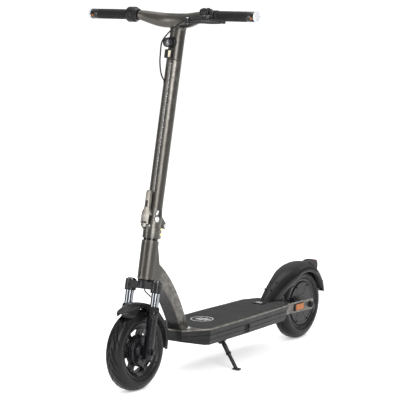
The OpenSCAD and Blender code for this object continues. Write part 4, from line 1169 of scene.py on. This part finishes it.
def dropout():
    """Cast foot of a fork leg round the axle, drawn about the axle along X."""
    boss = lathe([(-LEG_R, 6.2), (-LEG_R, 12), (-LEG_R + 1.5, 13.4), (LEG_R - 1.5, 13.4), (LEG_R, 12),
                  (LEG_R, 6.2)], 48, loop=True)
    web = prism(rounded([(-9, -22), (9, -22), (12, 4), (-12, 4)], 4), -12, 12)
    return joined(boss, web)


def legs():
    place = Matrix.Translation((LEG_X, LEG_V, 0))
    body = joined(lathe(leg_profile(), 56, "Z"), dropout())
    add("fork_lower_legs", pair(moved(body, place)), "black_paint", "fork_lowers", AT_STEER, bevel=0.5,
        stands_for=("fork_legs",))
    seal = lathe([(SEAL_LOW, 13.6), (SEAL_LOW, 18.0), (SEAL_LOW + 1.2, 18.5), (SEAL_LOW + 5, 18.5),
                  (SEAL_LOW + 6, 17.2), (SEAL_LOW + 7.4, 17.2), (SEAL_LOW + 8.6, 18.2), (SEAL_LOW + 11, 18),
                  (SEAL_TOP - 2, 15.6), (SEAL_TOP, 14.4), (SEAL_TOP, 13.6)], 56, "Z", loop=True)
    add("fork_wiper_lips", pair(moved(seal, place)), "grip_rubber", "fork_lowers", AT_STEER,
        stands_for=("wiper_seals",))
    drain = pair(shifted(turned(cap_screw(4.5, 2), 90, "Z"), LEG_X, LEG_V + 15.2, -8))
    add("fork_leg_plugs", drain, "steel", "fork_lowers", AT_STEER, bevel=0.2)


def brake():
    x = RIM_HALF + 0.6
    disc = lathe([(x, 6.1), (x, 49), (x + 1, 50), (x + 2.6, 49.4), (x + 3.4, 47.6), (x + 3.4, 46.6),
                  (x + 1.6, 45.4), (x + 1.6, 44), (x + 3.2, 43), (x + 3.2, 41.6), (x + 1.8, 40),
                  (x + 1.8, 27),
                  (x + 3.6, 25), (x + 3.6, 22.6), (x + 5.4, 21), (x + 8.4, 13), (x + 9, 11.5), (x + 9, 6.1)],
                 72, loop=True)
    ribs = [turned(prism([(-1.1, 22), (1.1, 22), (1.1, 45), (-1.1, 45)], x + 1.4, x + 3.4), 45 * k + 10)
            for k in range(8)]
    cam = shifted(lathe([(x + 1, 4.1), (x + 1, 9), (x + 5.6, 8.4), (x + 6, 7.6), (x + 6, 4.1)], 32,
                        loop=True), 0, *cam_place())
    stay = prism(rounded([(-6, -8), (6, -8), (15, -60), (12, -65), (6, -64)], 3), x + 3, x + 7)
    shoes = [joined(prism(arc(0, 0, 44, 40, 140, 12) + arc(0, 0, 37, 140, 40, 12), x - 18, x - 0.4),
                    prism(arc(0, 0, 44.5, 40, 140, 12) + arc(0, 0, 43.6, 140, 40, 12), x - 18.4, x - 2))]
    shoes.append(turned(shoes[0], 180))
    add("drum_brake_plate", joined(disc, cam, stay, *ribs, *shoes), "black_paint", "fork_lowers", AT_FRONT,
        bevel=0.5, stands_for=("brake_plate",))
    brake_arm(x)


def cam_place():
    spot = pivot("brake_arm_pivot") - FRONT
    return spot.y, spot.z


def brake_arm(x):
    turn, reach = -38, 46
    bar = lofted([[(x + side, v, z) for v, z in rounded(
        [(-9, -4), (-4, -9), (4, -9), (reach, -5.5), (reach + 5.5, 0), (reach, 5.5), (4, 9), (-4, 9),
         (-9, 4)], 4)]
        for side in (7.5, 11.5)])
    shaft = lathe([(x - 10, 4), (x + 12.6, 4), (x + 13, 3.4)], 24)
    nut = lathe([(x + 11.5, 6.4), (x + 14, 6.4), (x + 14.6, 5.6)], 6)
    eye = shifted(lathe([(x + 6.6, 3.6), (x + 12.6, 3.6), (x + 13.4, 2.8)], 20), 0, reach, 0)
    whole = turned(joined(bar, nut, eye), turn)
    add("drum_brake_arm", shifted(joined(whole, shaft), 0, *cam_place()), "black_paint", "brake_arm",
        AT_FRONT, bevel=0.4, stands_for=("brake_arm",))


# ---- Folding joint and stem ----

FOLD_S = 398
LEVER_V, LEVER_S = -37, 392
STEM_R = 24.5
SEAM_S = 918.9


def folding_joint():
    keep_node("fold_base", "frame_paint", 1.4, segments=3, edge=32)
    keep_node("hinge_pin", "steel", 0.5)
    bolts = []
    for s in (FOLD_S - 29, FOLD_S - 13):
        bolts.append(shifted(cap_screw(5, 3.6), 17, 24.5, s))
        bolts.append(shifted(lathe([(0, 3), (34, 3)], 20), -17, 24.5, s))
    add("collar_pinch_screws", joined(*bolts), "bolt_gold", "steering", AT_STEER, bevel=0.3,
        stands_for=("pinch_bolts",))
    ring = lathe([(346.4, 16), (346.4, 23.4), (352.8, 23.4), (352.8, 16)], 64, "Z", loop=True)
    add("collar_gap_ring", ring, "gloss_black", "steering", AT_STEER, bevel=0.2)
    slot = brick(-1.0, 1.0, 26, 28.8, 357, 394)
    add("collar_split", slot, "grip_rubber", "steering", AT_STEER)
    lever()
    latch_hook()


def lever():
    """Folding lever: a wide channel at the pin that narrows to a handle."""
    foot = [(-6.0, 6.2, -8.0, 5.0), (3.2, 6.2, -8.6, 6.4)]
    wide = [(3.4, 15, -8.8, -5.9), (14, 15, -9.2, -5.9), (32.4, 15, -8.8, -5.9)]
    block = [(32.2, 15, -8.8, 6.2), (40, 14.6, -8.4, 6.2), (46, 12.5, -8.2, 6), (52, 9.6, -8.2, 5.8),
             (60, 8.4, -8.4, 5.4), (80, 8, -8.8, 5.2), (102, 8, -9, 5.2), (108, 7.2, -8, 4.2),
             (110, 5, -5, 2)]

    def bar(sections):
        return lofted([[(x, v, s) for x, v in rounded_rect(-w, a, w, b, 2.2, 3)]
                       for s, w, a, b in sections])

    boss = lathe([(-6.3, 3.1), (-6.3, 6), (6.3, 6), (6.3, 3.1)], 40, loop=True)
    body = joined(bar(foot), bar(wide), bar(block), boss)
    at = AT_STEER @ Matrix.Translation((0, LEVER_V, LEVER_S))
    add("folding_lever_body", body, "lever", "fold_lever", at, bevel=0.5, stands_for=("fold_lever",))
    slot = prism(rounded_rect(-9.1, 56, -8.2, 77, 0.4), -4, 4)
    add("folding_lever_slot", slot, "gloss_black", "fold_lever", at, bevel=0.2)
    catch = prism(rounded([(-9.6, 64.4), (-5, 64.2), (-5, 75.4), (-9.6, 75)], 1), -3.5, 3.5)
    add("folding_catch", catch, "black_plastic", "fold_catch", at, bevel=0.6, stands_for=("fold_catch",))
    # Painted shade: a gloss black strip across the front of the lever just above its pin, where shade falls.
    shade = prism(rounded_rect(-9.3, 5, -8.4, 11, 0.4), -9, 9)
    add("folding_lever_painted_shade", shade, "gloss_black", "fold_lever", at, bevel=0.2)
    tips = pair(shifted(cap_screw(3.4, 1.2), 14.6, 0, 0))
    add("lever_pin_heads", tips, "steel", "steering", at, bevel=0.1)


def latch_hook():
    """Polished latch parts between the lever and the stem's foot."""
    at = AT_STEER @ Matrix.Translation((0, 0, FOLD_S))
    eye = lathe([(0, 4.6), (0, 8.4), (1.2, 9.4), (3.4, 9.4), (4.6, 8.2), (4.6, 4.6)], 36, loop=True)
    knob = shifted(eye, 22.6, -14, 16)
    core = shifted(lathe([(0, 5), (3.6, 4.8), (4.4, 3.6)], 24), 22.4, -14, 16)
    arm = lofted([[(x, v, s) for v, s in rounded([(-20, 26), (-12, 30), (-7, 42), (-12, 46), (-20, 40)], 3)]
                          for x in (21, 24.6)])
    add("latch_boss", joined(knob, core), "aluminium", "stem", at, bevel=0.4)
    add("latch_strap", arm, "aluminium", "stem", at, bevel=0.8)


def stem():
    keep_node("stem_tube", "frame_paint", 1.2, segments=3, edge=35)
    seam = lathe([(SEAM_S - 0.7, STEM_R - 0.6), (SEAM_S - 0.7, STEM_R + 0.12), (SEAM_S + 0.7, STEM_R + 0.12),
                  (SEAM_S + 0.7, STEM_R - 0.6)], 72, "Z", loop=True)
    add("stem_seam", seam, "black_paint", "stem", AT_STEER)
    bright_strip = stem_strip()
    add("stem_bright_strip", bright_strip, "aluminium", "stem", AT_STEER, bevel=0.15)
    holes = []
    for s in (SEAM_S - 20, SEAM_S - 38):
        screw = turned(shifted(cap_screw(3.2, 1.0), STEM_R - 0.6, 0, s), 62, "Z")
        holes.append(screw)
    add("stem_side_screws", joined(*holes), "gloss_black", "stem", AT_STEER, bevel=0.1)
    grommet = turned(shifted(lathe([(0, 2.5), (0, 5.6), (1.4, 5.2), (1.8, 3.6), (1.8, 2.5)], 28, loop=True),
                             STEM_R - 0.6, 0, 847.9), -119, "Z")
    add("cable_grommet", grommet, "grip_rubber", "stem", AT_STEER)


def stem_strip():
    """Thin bright aluminium strip along the front of the stem, set on a thin bright line along it."""
    turn = -76
    rings = []
    for s in (FOLD_S + 96, FOLD_S + 100, SEAM_S - 14, SEAM_S - 10):
        end = 0.4 if s in (FOLD_S + 96, SEAM_S - 10) else 1.0
        rings.append([(STEM_R - 0.5, -end, s), (STEM_R + 0.35, -end, s), (STEM_R + 0.35, end, s),
                      (STEM_R - 0.5, end, s)])
    return turned(lofted(rings), turn, "Z")


# ---- Handlebar ----

BAR = {"rise": 14, "lead": 27, "elbow": 138, "r": 11.1}
GRIP_AT = pivot("throttle_turn") - FRONT
GRIP_R = 16
GRIP_LEN = 118
BAR_LAMP_LEN = 28
PERCH_BACK = 18


def wing_section(x, n=28):
    """Section of the bar's wing at a distance from the middle."""
    share = min(abs(x) / BAR["elbow"], 1)
    w = (0.5 - 0.5 * math.cos(math.pi * share)) ** 1.25
    belly = 4 * math.sin(math.pi * share)
    ry, rz = 20 - 5 * w, 21 - 6.5 * w + belly
    y = GRIP_AT.y + BAR["lead"] * (1 - w)
    z = GRIP_AT.z - (BAR["rise"] + 2) * (1 - w) - belly
    return [(x, y + ry * math.cos(2 * math.pi * k / n),
             z + rz * math.sin(2 * math.pi * k / n)) for k in range(n)]


def bar_neck():
    """Flared top of the stem that runs into the wing, in steering-axis millimetres."""
    bar_s = SEAM_S + 132
    sections = [(SEAM_S, STEM_R, STEM_R, 0), (bar_s - 50, STEM_R, STEM_R, 0),
                (bar_s - 36, STEM_R + 1, STEM_R, 0),
                (bar_s - 28, STEM_R + 3, STEM_R - 0.5, 1), (bar_s - 22, STEM_R + 8, STEM_R - 2, 3),
                (bar_s - 15, STEM_R + 20, STEM_R - 5, 5), (bar_s - 6, STEM_R + 36, 15, 6)]
    return lofted([[(a * math.cos(2 * math.pi * k / 36), b * math.sin(2 * math.pi * k / 36) - ahead, s)
                    for k in range(36)] for s, a, b, ahead in sections])


def fused(name, shapes, voxel, rounds):
    """One skin over several overlapping closed shapes, smoothed where they meet. Points are in metres."""
    points, faces = joined(*shapes)
    mesh = bpy.data.meshes.new(name)
    mesh.from_pydata([tuple(p) for p in points], [], faces)
    fix_normals(mesh)
    obj = bpy.data.objects.new(name, mesh)
    bpy.context.scene.collection.objects.link(obj)
    melt = obj.modifiers.new("melt", "REMESH")
    melt.mode = "VOXEL"
    melt.voxel_size = voxel / TO_MM
    ease = obj.modifiers.new("ease", "SMOOTH")
    ease.factor = 0.5
    ease.iterations = rounds
    graph = bpy.context.evaluated_depsgraph_get()
    made = bpy.data.meshes.new_from_object(obj.evaluated_get(graph))
    bpy.data.objects.remove(obj)
    out = [v.co * TO_MM for v in made.vertices], [tuple(f.vertices) for f in made.polygons]
    bpy.data.meshes.remove(made)
    return out


def in_metres(shape, at):
    return [(at @ Vector(p)) / TO_MM for p in shape[0]], shape[1]


def handlebar():
    left, right = BAR["elbow"], high("throttle").x + 0.6
    steps = 40
    wing = lofted([wing_section(right + (left - right) * k / steps) for k in range(steps + 1)])
    skin = fused("bar_skin", [in_metres(wing, AT_FRONT), in_metres(bar_neck(), AT_STEER)], 2.2, 6)
    add("handlebar_wing", skin, "frame_paint", "stem", smooth=60, stands_for=("handlebar",))
    end = high("grips").x
    rod = lathe([(BAR["elbow"] - 30, BAR["r"]), (end + 10, BAR["r"])], 40)
    add("handlebar_ends", moved(pair(rod), Matrix.Translation((0, GRIP_AT.y, GRIP_AT.z))), "frame_paint",
        "stem", AT_FRONT)
    display()
    for side, label in ((1, "left"), (-1, "right")):
        grip(side, label)


def display():
    lo, hi = low("display_panel"), high("display_panel")
    face = slab(rounded_rect(lo.x, lo.y, hi.x, hi.y, 6, 5), lo.z, hi.z - 0.2)
    add("display_glass", face, "gloss_black", "stem", bevel=0.8, segments=3, stands_for=("display_panel",))
    y = (lo.y + hi.y) / 2
    bars = [slab(rounded_rect(x - 1.1, y - 3 - k, x + 1.1, y + 3, 0.4, 2),
                 hi.z - 0.4, hi.z - 0.1) for k, x in enumerate((-14, -9, -4, 1, 6))]
    button = slab(arc(22, y, 4.4, 0, 345, 23), hi.z - 0.4, hi.z + 0.5)
    add("display_bars", joined(*bars), "mark", "stem")
    add("display_button", button, "black_plastic", "stem", bevel=0.3)


def ribbed(x0, x1, r, pitch, depth):
    """Profile with fine ridges along a grip."""
    out = []
    count = int((x1 - x0) / pitch)
    for k in range(count):
        a = x0 + (x1 - x0) * k / count
        step = (x1 - x0) / count
        out += [(a, r - depth), (a + step * 0.2, r), (a + step * 0.7, r), (a + step * 0.9, r - depth)]
    return out


def grip(side, label):
    end = high("grips").x
    start = end - GRIP_LEN
    profile = [(start, BAR["r"]), (start, GRIP_R + 1.4), (start + 1.2, GRIP_R + 2), (start + 3, GRIP_R + 2),
               (start + 4.4, GRIP_R + 0.4)]
    profile += ribbed(start + 6, end - 5, GRIP_R, 3.1, 0.7) + [(end - 3, GRIP_R - 0.3), (end, GRIP_R - 0.6),
                                                              (end, BAR["r"])]
    place = AT_FRONT @ Matrix.Translation((0, GRIP_AT.y, GRIP_AT.z)) @ Matrix.Scale(side, 4, (1, 0, 0))
    stands = ("grips",) if side > 0 else ()
    add(f"grip_{label}", lathe(profile, 64, loop=True), "grip_rubber", "stem", place, smooth=50,
        stands_for=stands)
    lamp_end = end + BAR_LAMP_LEN
    band = lathe([(end, BAR["r"]), (end, GRIP_R - 0.4), (end + 1, GRIP_R), (end + 9, GRIP_R),
                  (end + 9.6, GRIP_R - 0.8), (end + 11, GRIP_R - 0.8), (end + 11.6, GRIP_R),
                  (lamp_end - 1, GRIP_R), (lamp_end, GRIP_R - 0.5), (lamp_end, 4)], 64)
    inner = [math.radians(a) for a in range(186, 216, 5)]
    window = prism([(GRIP_R * math.cos(t), GRIP_R * math.sin(t)) for t in inner]
                   + [((GRIP_R + 0.4) * math.cos(t), (GRIP_R + 0.4) * math.sin(t)) for t in inner[::-1]],
                   end + 16, end + 22)
    stands = ("bar_end_lamps",) if side > 0 else ()
    add(f"bar_end_lamp_{label}", band, "gloss_black", "stem", place, bevel=0.3, stands_for=stands)
    add(f"bar_end_window_{label}", window, "orange_reflector", "stem", place)
    tip = lamp_end + 8
    lens = lathe([(lamp_end, 3), (lamp_end, GRIP_R + 1.4), (lamp_end + 0.8, GRIP_R + 2),
                  (lamp_end + 4.4, GRIP_R + 2),
                  (lamp_end + 6, GRIP_R + 1), (tip - 0.6, GRIP_R - 1), (tip - 0.2, GRIP_R - 3),
                  (tip - 0.9, GRIP_R - 5), (tip - 0.9, 6), (tip - 0.2, 5), (tip - 0.2, 0.5)], 64)
    stands = ("bar_end_lenses",) if side > 0 else ()
    add(f"bar_end_lens_{label}", lens, "clear_lens", "stem", place, smooth=30, stands_for=stands)


def throttle():
    a, b = low("throttle").x, high("throttle").x
    r = GRIP_R + 8.5
    body = [(a, 11.3), (a, r - 5), (a + 2, r - 1.5), (a + 4, r)]
    body += [(a + 14, r), (a + 14.6, r - 1), (a + 16.2, r - 1), (a + 16.8, r), (b - 14, r),
             (b - 12.6, r - 0.6)]
    body += [(b - 10, r - 2.5), (b - 8.6, r - 3.5), (b - 8.6, 11.3)]
    place = AT_FRONT @ Matrix.Translation((0, GRIP_AT.y, GRIP_AT.z))
    ribs = []
    for k in range(30):
        rib = prism([(-0.9, r - 0.6), (0.9, r - 0.6), (0.6, r), (-0.6, r)], a + 4.5, a + 13.5)
        ribs.append(turned(rib, 12 * k))
    add("throttle_housing", joined(lathe(body, 72, loop=True), *ribs), "black_plastic", "throttle", place,
        bevel=0.3, stands_for=("throttle",))
    ring = lathe([(b - 8.6, 11.3), (b - 8.6, r - 3.6), (b - 7, r - 3.8), (b - 1.2, GRIP_R + 2.4),
                  (b, GRIP_R + 0.6), (b, 11.3)], 72, loop=True)
    add("throttle_inner_ring", ring, "black_paint", "throttle", place, bevel=0.3)


# ---- Lamp and reflector on the stem ----

LIGHT_R = 15


def headlight():
    lens_lo, lens_hi = low("headlight_lens"), high("headlight_lens")
    c = (lens_lo + lens_hi) / 2
    front = lens_lo.y
    back = high("headlight_body").y

    def ring_y(profile, n=56, loop=True):
        return shifted(turned(lathe(profile, n, loop=loop), 90, "Z"), c.x, 0, c.z)
    flange = ring_y([(back - 18, 8), (back - 18, LIGHT_R + 1), (back - 16.8, LIGHT_R + 2),
                     (back - 5, LIGHT_R + 2), (back - 5, 8)])
    barrel = ring_y([(back - 20, 8), (back - 20, LIGHT_R - 2), (front + 16, LIGHT_R - 2),
                     (front + 14, LIGHT_R - 0.6),
                     (front + 12.6, LIGHT_R), (front + 3, LIGHT_R), (front + 2, LIGHT_R - 0.8),
                     (front + 0.6, LIGHT_R - 0.8), (front - 0.6, LIGHT_R - 0.2), (front - 1.0, LIGHT_R - 1),
                     (front - 0.8, LIGHT_R - 2.2), (front + 3, LIGHT_R - 2.6), (front + 3, 8)])
    fins = [ring_y([(front + 5 + 3 * k, LIGHT_R - 0.2), (front + 5 + 3 * k, LIGHT_R),
                    (front + 6.4 + 3 * k, LIGHT_R), (front + 6.4 + 3 * k, LIGHT_R - 0.2)]) for k in range(2)]
    add("headlight_barrel", joined(flange, barrel, *fins), "black_plastic", "stem", bevel=0.3,
        stands_for=("headlight_body",))
    dome = ring_y([(front + 3, LIGHT_R - 2.8), (front + 1.6, LIGHT_R - 2.9), (front + 0.4, LIGHT_R - 5),
                   (front - 0.4, LIGHT_R - 9), (front - 0.6, 0.3)], 56, False)
    bowl = ring_y([(front + 2.9, LIGHT_R - 3.4), (front + 5, 8), (front + 9, 4), (front + 10, 0.4)], 40,
                  False)
    add("headlight_reflector_bowl", bowl, "gloss_black", "stem")
    add("headlight_dome", dome, "lamp_glass", "stem", stands_for=("headlight_lens",), smooth=50)


REFLECTOR_S = 934.9


def front_reflector():
    at = AT_STEER @ Matrix.Translation((1, 0, REFLECTOR_S))
    v0, v1 = -STEM_R - 17, -STEM_R - 9
    shell = lofted([[(x, v, z) for x, z in rounded_rect(-13 + g, -14 + g, 13 - g, 14 - g, 4, 4)]
                    for v, g in ((v1, 1.2), (v1 - 1.5, 0), (v0 + 2, 0), (v0 + 0.6, 1.0))])
    face = lofted([[(x, v, z) for x, z in rounded_rect(2, -10.5, 11, 10.5, 2, 4)]
                   for v in (v0 + 1.0, v0)])
    neck_piece = brick(-6, 6, -STEM_R - 10, -STEM_R + 1.5, 3, 11)
    add("front_reflector_shell", joined(shell, neck_piece), "black_plastic", "stem", at, bevel=0.6,
        stands_for=("front_reflector",))
    add("front_reflector_face", face, "white_reflector", "stem", at, bevel=0.4)
    screw = shifted(cap_screw(2.8, 1.8), 6, -STEM_R - 5.5, 7)
    add("front_reflector_screw", screw, "steel", "stem", at, bevel=0.2)


# ---- Brake lever and switches ----

def controls():
    lever_at = pivot("brake_lever_pivot") - FRONT
    perch(lever_at)
    brake_lever(lever_at)
    pod()


def perch(at):
    clamp_x = high("grips").x - GRIP_LEN - PERCH_BACK
    clamp = shifted(lathe([(clamp_x, 11.2), (clamp_x, 16.6), (clamp_x + 1.2, 18), (clamp_x + 12.8, 18),
                           (clamp_x + 14, 16.6), (clamp_x + 14, 11.2)], 48, loop=True), 0, GRIP_AT.y,
                           GRIP_AT.z)
    route = [(clamp_x + 7, GRIP_AT.y - 15, GRIP_AT.z - 11), (clamp_x - 6, GRIP_AT.y - 24, GRIP_AT.z - 13),
             (clamp_x - 28, GRIP_AT.y - 34, GRIP_AT.z - 14.5), (at.x + 11, at.y + 6, at.z + 0.5),
             (at.x - 1, at.y + 1, at.z)]
    arms = []
    for lift in (6.7, -6.7):
        rings = []
        for i, p in enumerate(spline_points(route, 5)):
            t = i / (5 * (len(route) - 1))
            w, h = 8.2 + 1.8 * math.sin(math.pi * t), 2.2
            rings.append([(p.x, p.y - w, p.z + lift - h), (p.x, p.y + w, p.z + lift - h),
                          (p.x, p.y + w, p.z + lift + h), (p.x, p.y - w, p.z + lift + h)])
        arms.append(lofted(rings))
    spine = []
    for p in spline_points(route[:4], 5):
        spine.append([(p.x, p.y + 2.0, p.z - 7), (p.x, p.y + 8.4, p.z - 7), (p.x, p.y + 8.4, p.z + 7),
                      (p.x, p.y + 2.0, p.z + 7)])
    eye = [shifted(lathe([(a, 2.6), (a, 8.6), (b, 8.6), (b, 2.6)], 36, "Z", loop=True), at.x, at.y, at.z)
           for a, b in ((-9, -4.6), (4.6, 9))]
    pin = shifted(lathe([(-9.6, 4), (-9, 4), (-9, 2.5), (9, 2.5), (9, 4.4), (10.4, 4.4), (10.8, 3.6)], 28,
                        "Z"), at.x, at.y, at.z)
    add("brake_lever_perch", joined(clamp, *arms, lofted(spine), *eye), "black_paint", "stem", AT_FRONT,
        bevel=1.0, stands_for=("brake_perch",))
    add("brake_lever_pin", pin, "steel", "stem", AT_FRONT, bevel=0.2)
    barrel = tube(spline_points([(at.x - 1, at.y + 1, at.z - 1), (at.x - 10, 150, at.z)], 4),
                  lambda t: 5.2 - 1.6 * t, 20)
    add("cable_adjuster", barrel, "black_paint", "stem", AT_FRONT, bevel=0.3)
    screw = shifted(cap_screw(3.4, 3), clamp_x + 13, GRIP_AT.y - 17, GRIP_AT.z - 14)
    add("perch_clamp_screw", screw, "steel", "stem", AT_FRONT, bevel=0.2)


def brake_lever(at):
    """Curved two-finger blade with a ball at its end."""
    route = [(0, 0, 0), (14, -2, 0), (34, -2.5, 0.4), (60, -2.6, 0.6), (86, -2, -0.4), (112, -1, -1.6),
             (134, 0.8, -2.4)]
    rings = []
    line = spline_points(route, 6)
    for i, p in enumerate(line):
        t = i / (len(line) - 1)
        thick = 3.4 + 1.0 * math.sin(math.pi * min(1, t * 1.1)) - 1.0 * t
        tall = 3.9 if t < 0.12 else 3.9 + 4.2 * math.sin(math.pi * (t - 0.12) / 0.88) ** 0.8
        tall -= 0.8 * max(0, t - 0.7) / 0.3
        rings.append([(p.x, p.y + thick * math.cos(a), p.z + tall * math.sin(a))
                      for a in [2 * math.pi * k / 20 for k in range(20)]])
    blade = lofted(rings)
    boss = lathe([(-4, 2.6), (-4, 7.4), (-3.4, 8), (3.4, 8), (4, 7.4), (4, 2.6)], 40, "Z", loop=True)
    tip = line[-1]
    ball = shifted(lathe([(5 * math.cos(math.pi * (1 - k / 12)), 5 * math.sin(math.pi * k / 12) + 0.01)
                          for k in range(13)], 28), tip.x + 3, tip.y, tip.z)
    place = AT_FRONT @ Matrix.Translation(at)
    add("brake_lever_blade", joined(blade, boss, ball), "black_paint", "brake_lever", place, bevel=0.4,
        stands_for=("brake_lever",))


def pod():
    lo, hi = low("control_pod"), high("control_pod")
    centre = (lo + hi) / 2
    hx, hy = (hi.x - lo.x) / 2, (hi.y - lo.y) / 2
    rings = []
    for z, g in ((lo.z, 0.6), (lo.z + 2, 0), (hi.z - 6, 0), (hi.z - 2.4, 1.4), (hi.z - 0.6, 3.2), (hi.z, 5)):
        rings.append([(centre.x + x, centre.y + y, z) for x, y in
                      rounded_rect(-hx + g, -hy + g, hx - g, hy - g, 6, 5)])
    add("switch_pod", lofted(rings), "black_plastic", "stem", smooth=45, bevel=0.4,
        stands_for=("control_pod",))
    a, b = low("indicator_switch"), high("indicator_switch")
    m = (a + b) / 2
    well = slab(rounded_rect(m.x - 7.4, a.y - 1, m.x + 7.4, b.y + 1, 2, 4), hi.z - 0.6, hi.z + 0.35)
    knob = lofted([[(m.x + x, m.y + y, z) for x, y in
                    rounded_rect(-3 + g, a.y - m.y + g, 3 - g, b.y - m.y - g, 1.2, 3)] for z,
                    g in ((hi.z - 3, 0), (b.z - 0.8, 0), (b.z, 0.8))])
    add("indicator_well", well, "gloss_black", "stem", bevel=0.2)
    add("indicator_knob", knob, "gloss_black", "indicator_switch", bevel=0.3,
        stands_for=("indicator_switch",))
    h0, h1 = low("horn_button"), high("horn_button")
    c = (h0 + h1) / 2
    r = (h1.x - h0.x) / 2
    cap = shifted(lathe([(h0.z, r - 0.4), (h1.z - 1, r), (h1.z - 0.2, r - 0.8), (h1.z, r - 2.4),
                         (h1.z - 0.4, 0.3)], 36, "Z"), c.x, c.y, 0)
    rim = shifted(lathe([(hi.z - 0.6, r + 0.5), (hi.z - 0.6, r + 2.2), (hi.z + 0.5, r + 1.8),
                         (hi.z + 0.5, r + 0.5)], 40, "Z", loop=True), c.x, c.y, 0)
    add("horn_cap", cap, "gloss_black", "horn_button", bevel=0.2, stands_for=("horn_button",))
    add("horn_rim", rim, "black_plastic", "stem", bevel=0.2)


# ---- Brake cable, along the route that the CAD solids take, in millimetres from the front axle ----

CABLE_R = 2.3
UPPER_ROUTE = [(82, 150, 1024), (70, 148, 1020), (44, 148, 1004), (14, 152, 983), (-12, 157, 957),
               (-22, 163, 926), (-23, 161, 890), (-18, 161, 856), (-12, 168, 836), (-6, 182, 822)]
LOWER_ROUTE = [(2, 48, 204), (3, 45, 193), (8, 40, 184), (18, 36, 179), (28, 39, 170), (35, 47, 157),
               (45, 55, 132), (50, 48, 104), (52, 40, 60), (50, 30, 10), (46, 20, -28), (39, 9, -50)]


def cables():
    add("brake_cable_upper", tube(spline_points(UPPER_ROUTE, 10), CABLE_R, 14), "grip_rubber", "stem",
        AT_FRONT, smooth=80, stands_for=("cable_upper",))
    lower = spline_points(LOWER_ROUTE, 10)
    add("brake_cable_lower", tube(lower, CABLE_R, 14), "grip_rubber", "fork_lowers", AT_FRONT,
        smooth=80, stands_for=("cable_lower",))
    ferrule = tube(lower[-8:], lambda t: 3.2 - 1.2 * t, 14)
    add("cable_ferrule", ferrule, "steel", "fork_lowers", AT_FRONT)


make_camera()
make_materials()
make_floor()
make_lamps()
cables()
front_wheel()
rear_wheel()
rear_fender()
fender_screw_heads()
front_fender()
rear_end()
deck()
neck()
kickstand()
fork()
folding_joint()
stem()
handlebar()
throttle()
headlight()
front_reflector()
controls()
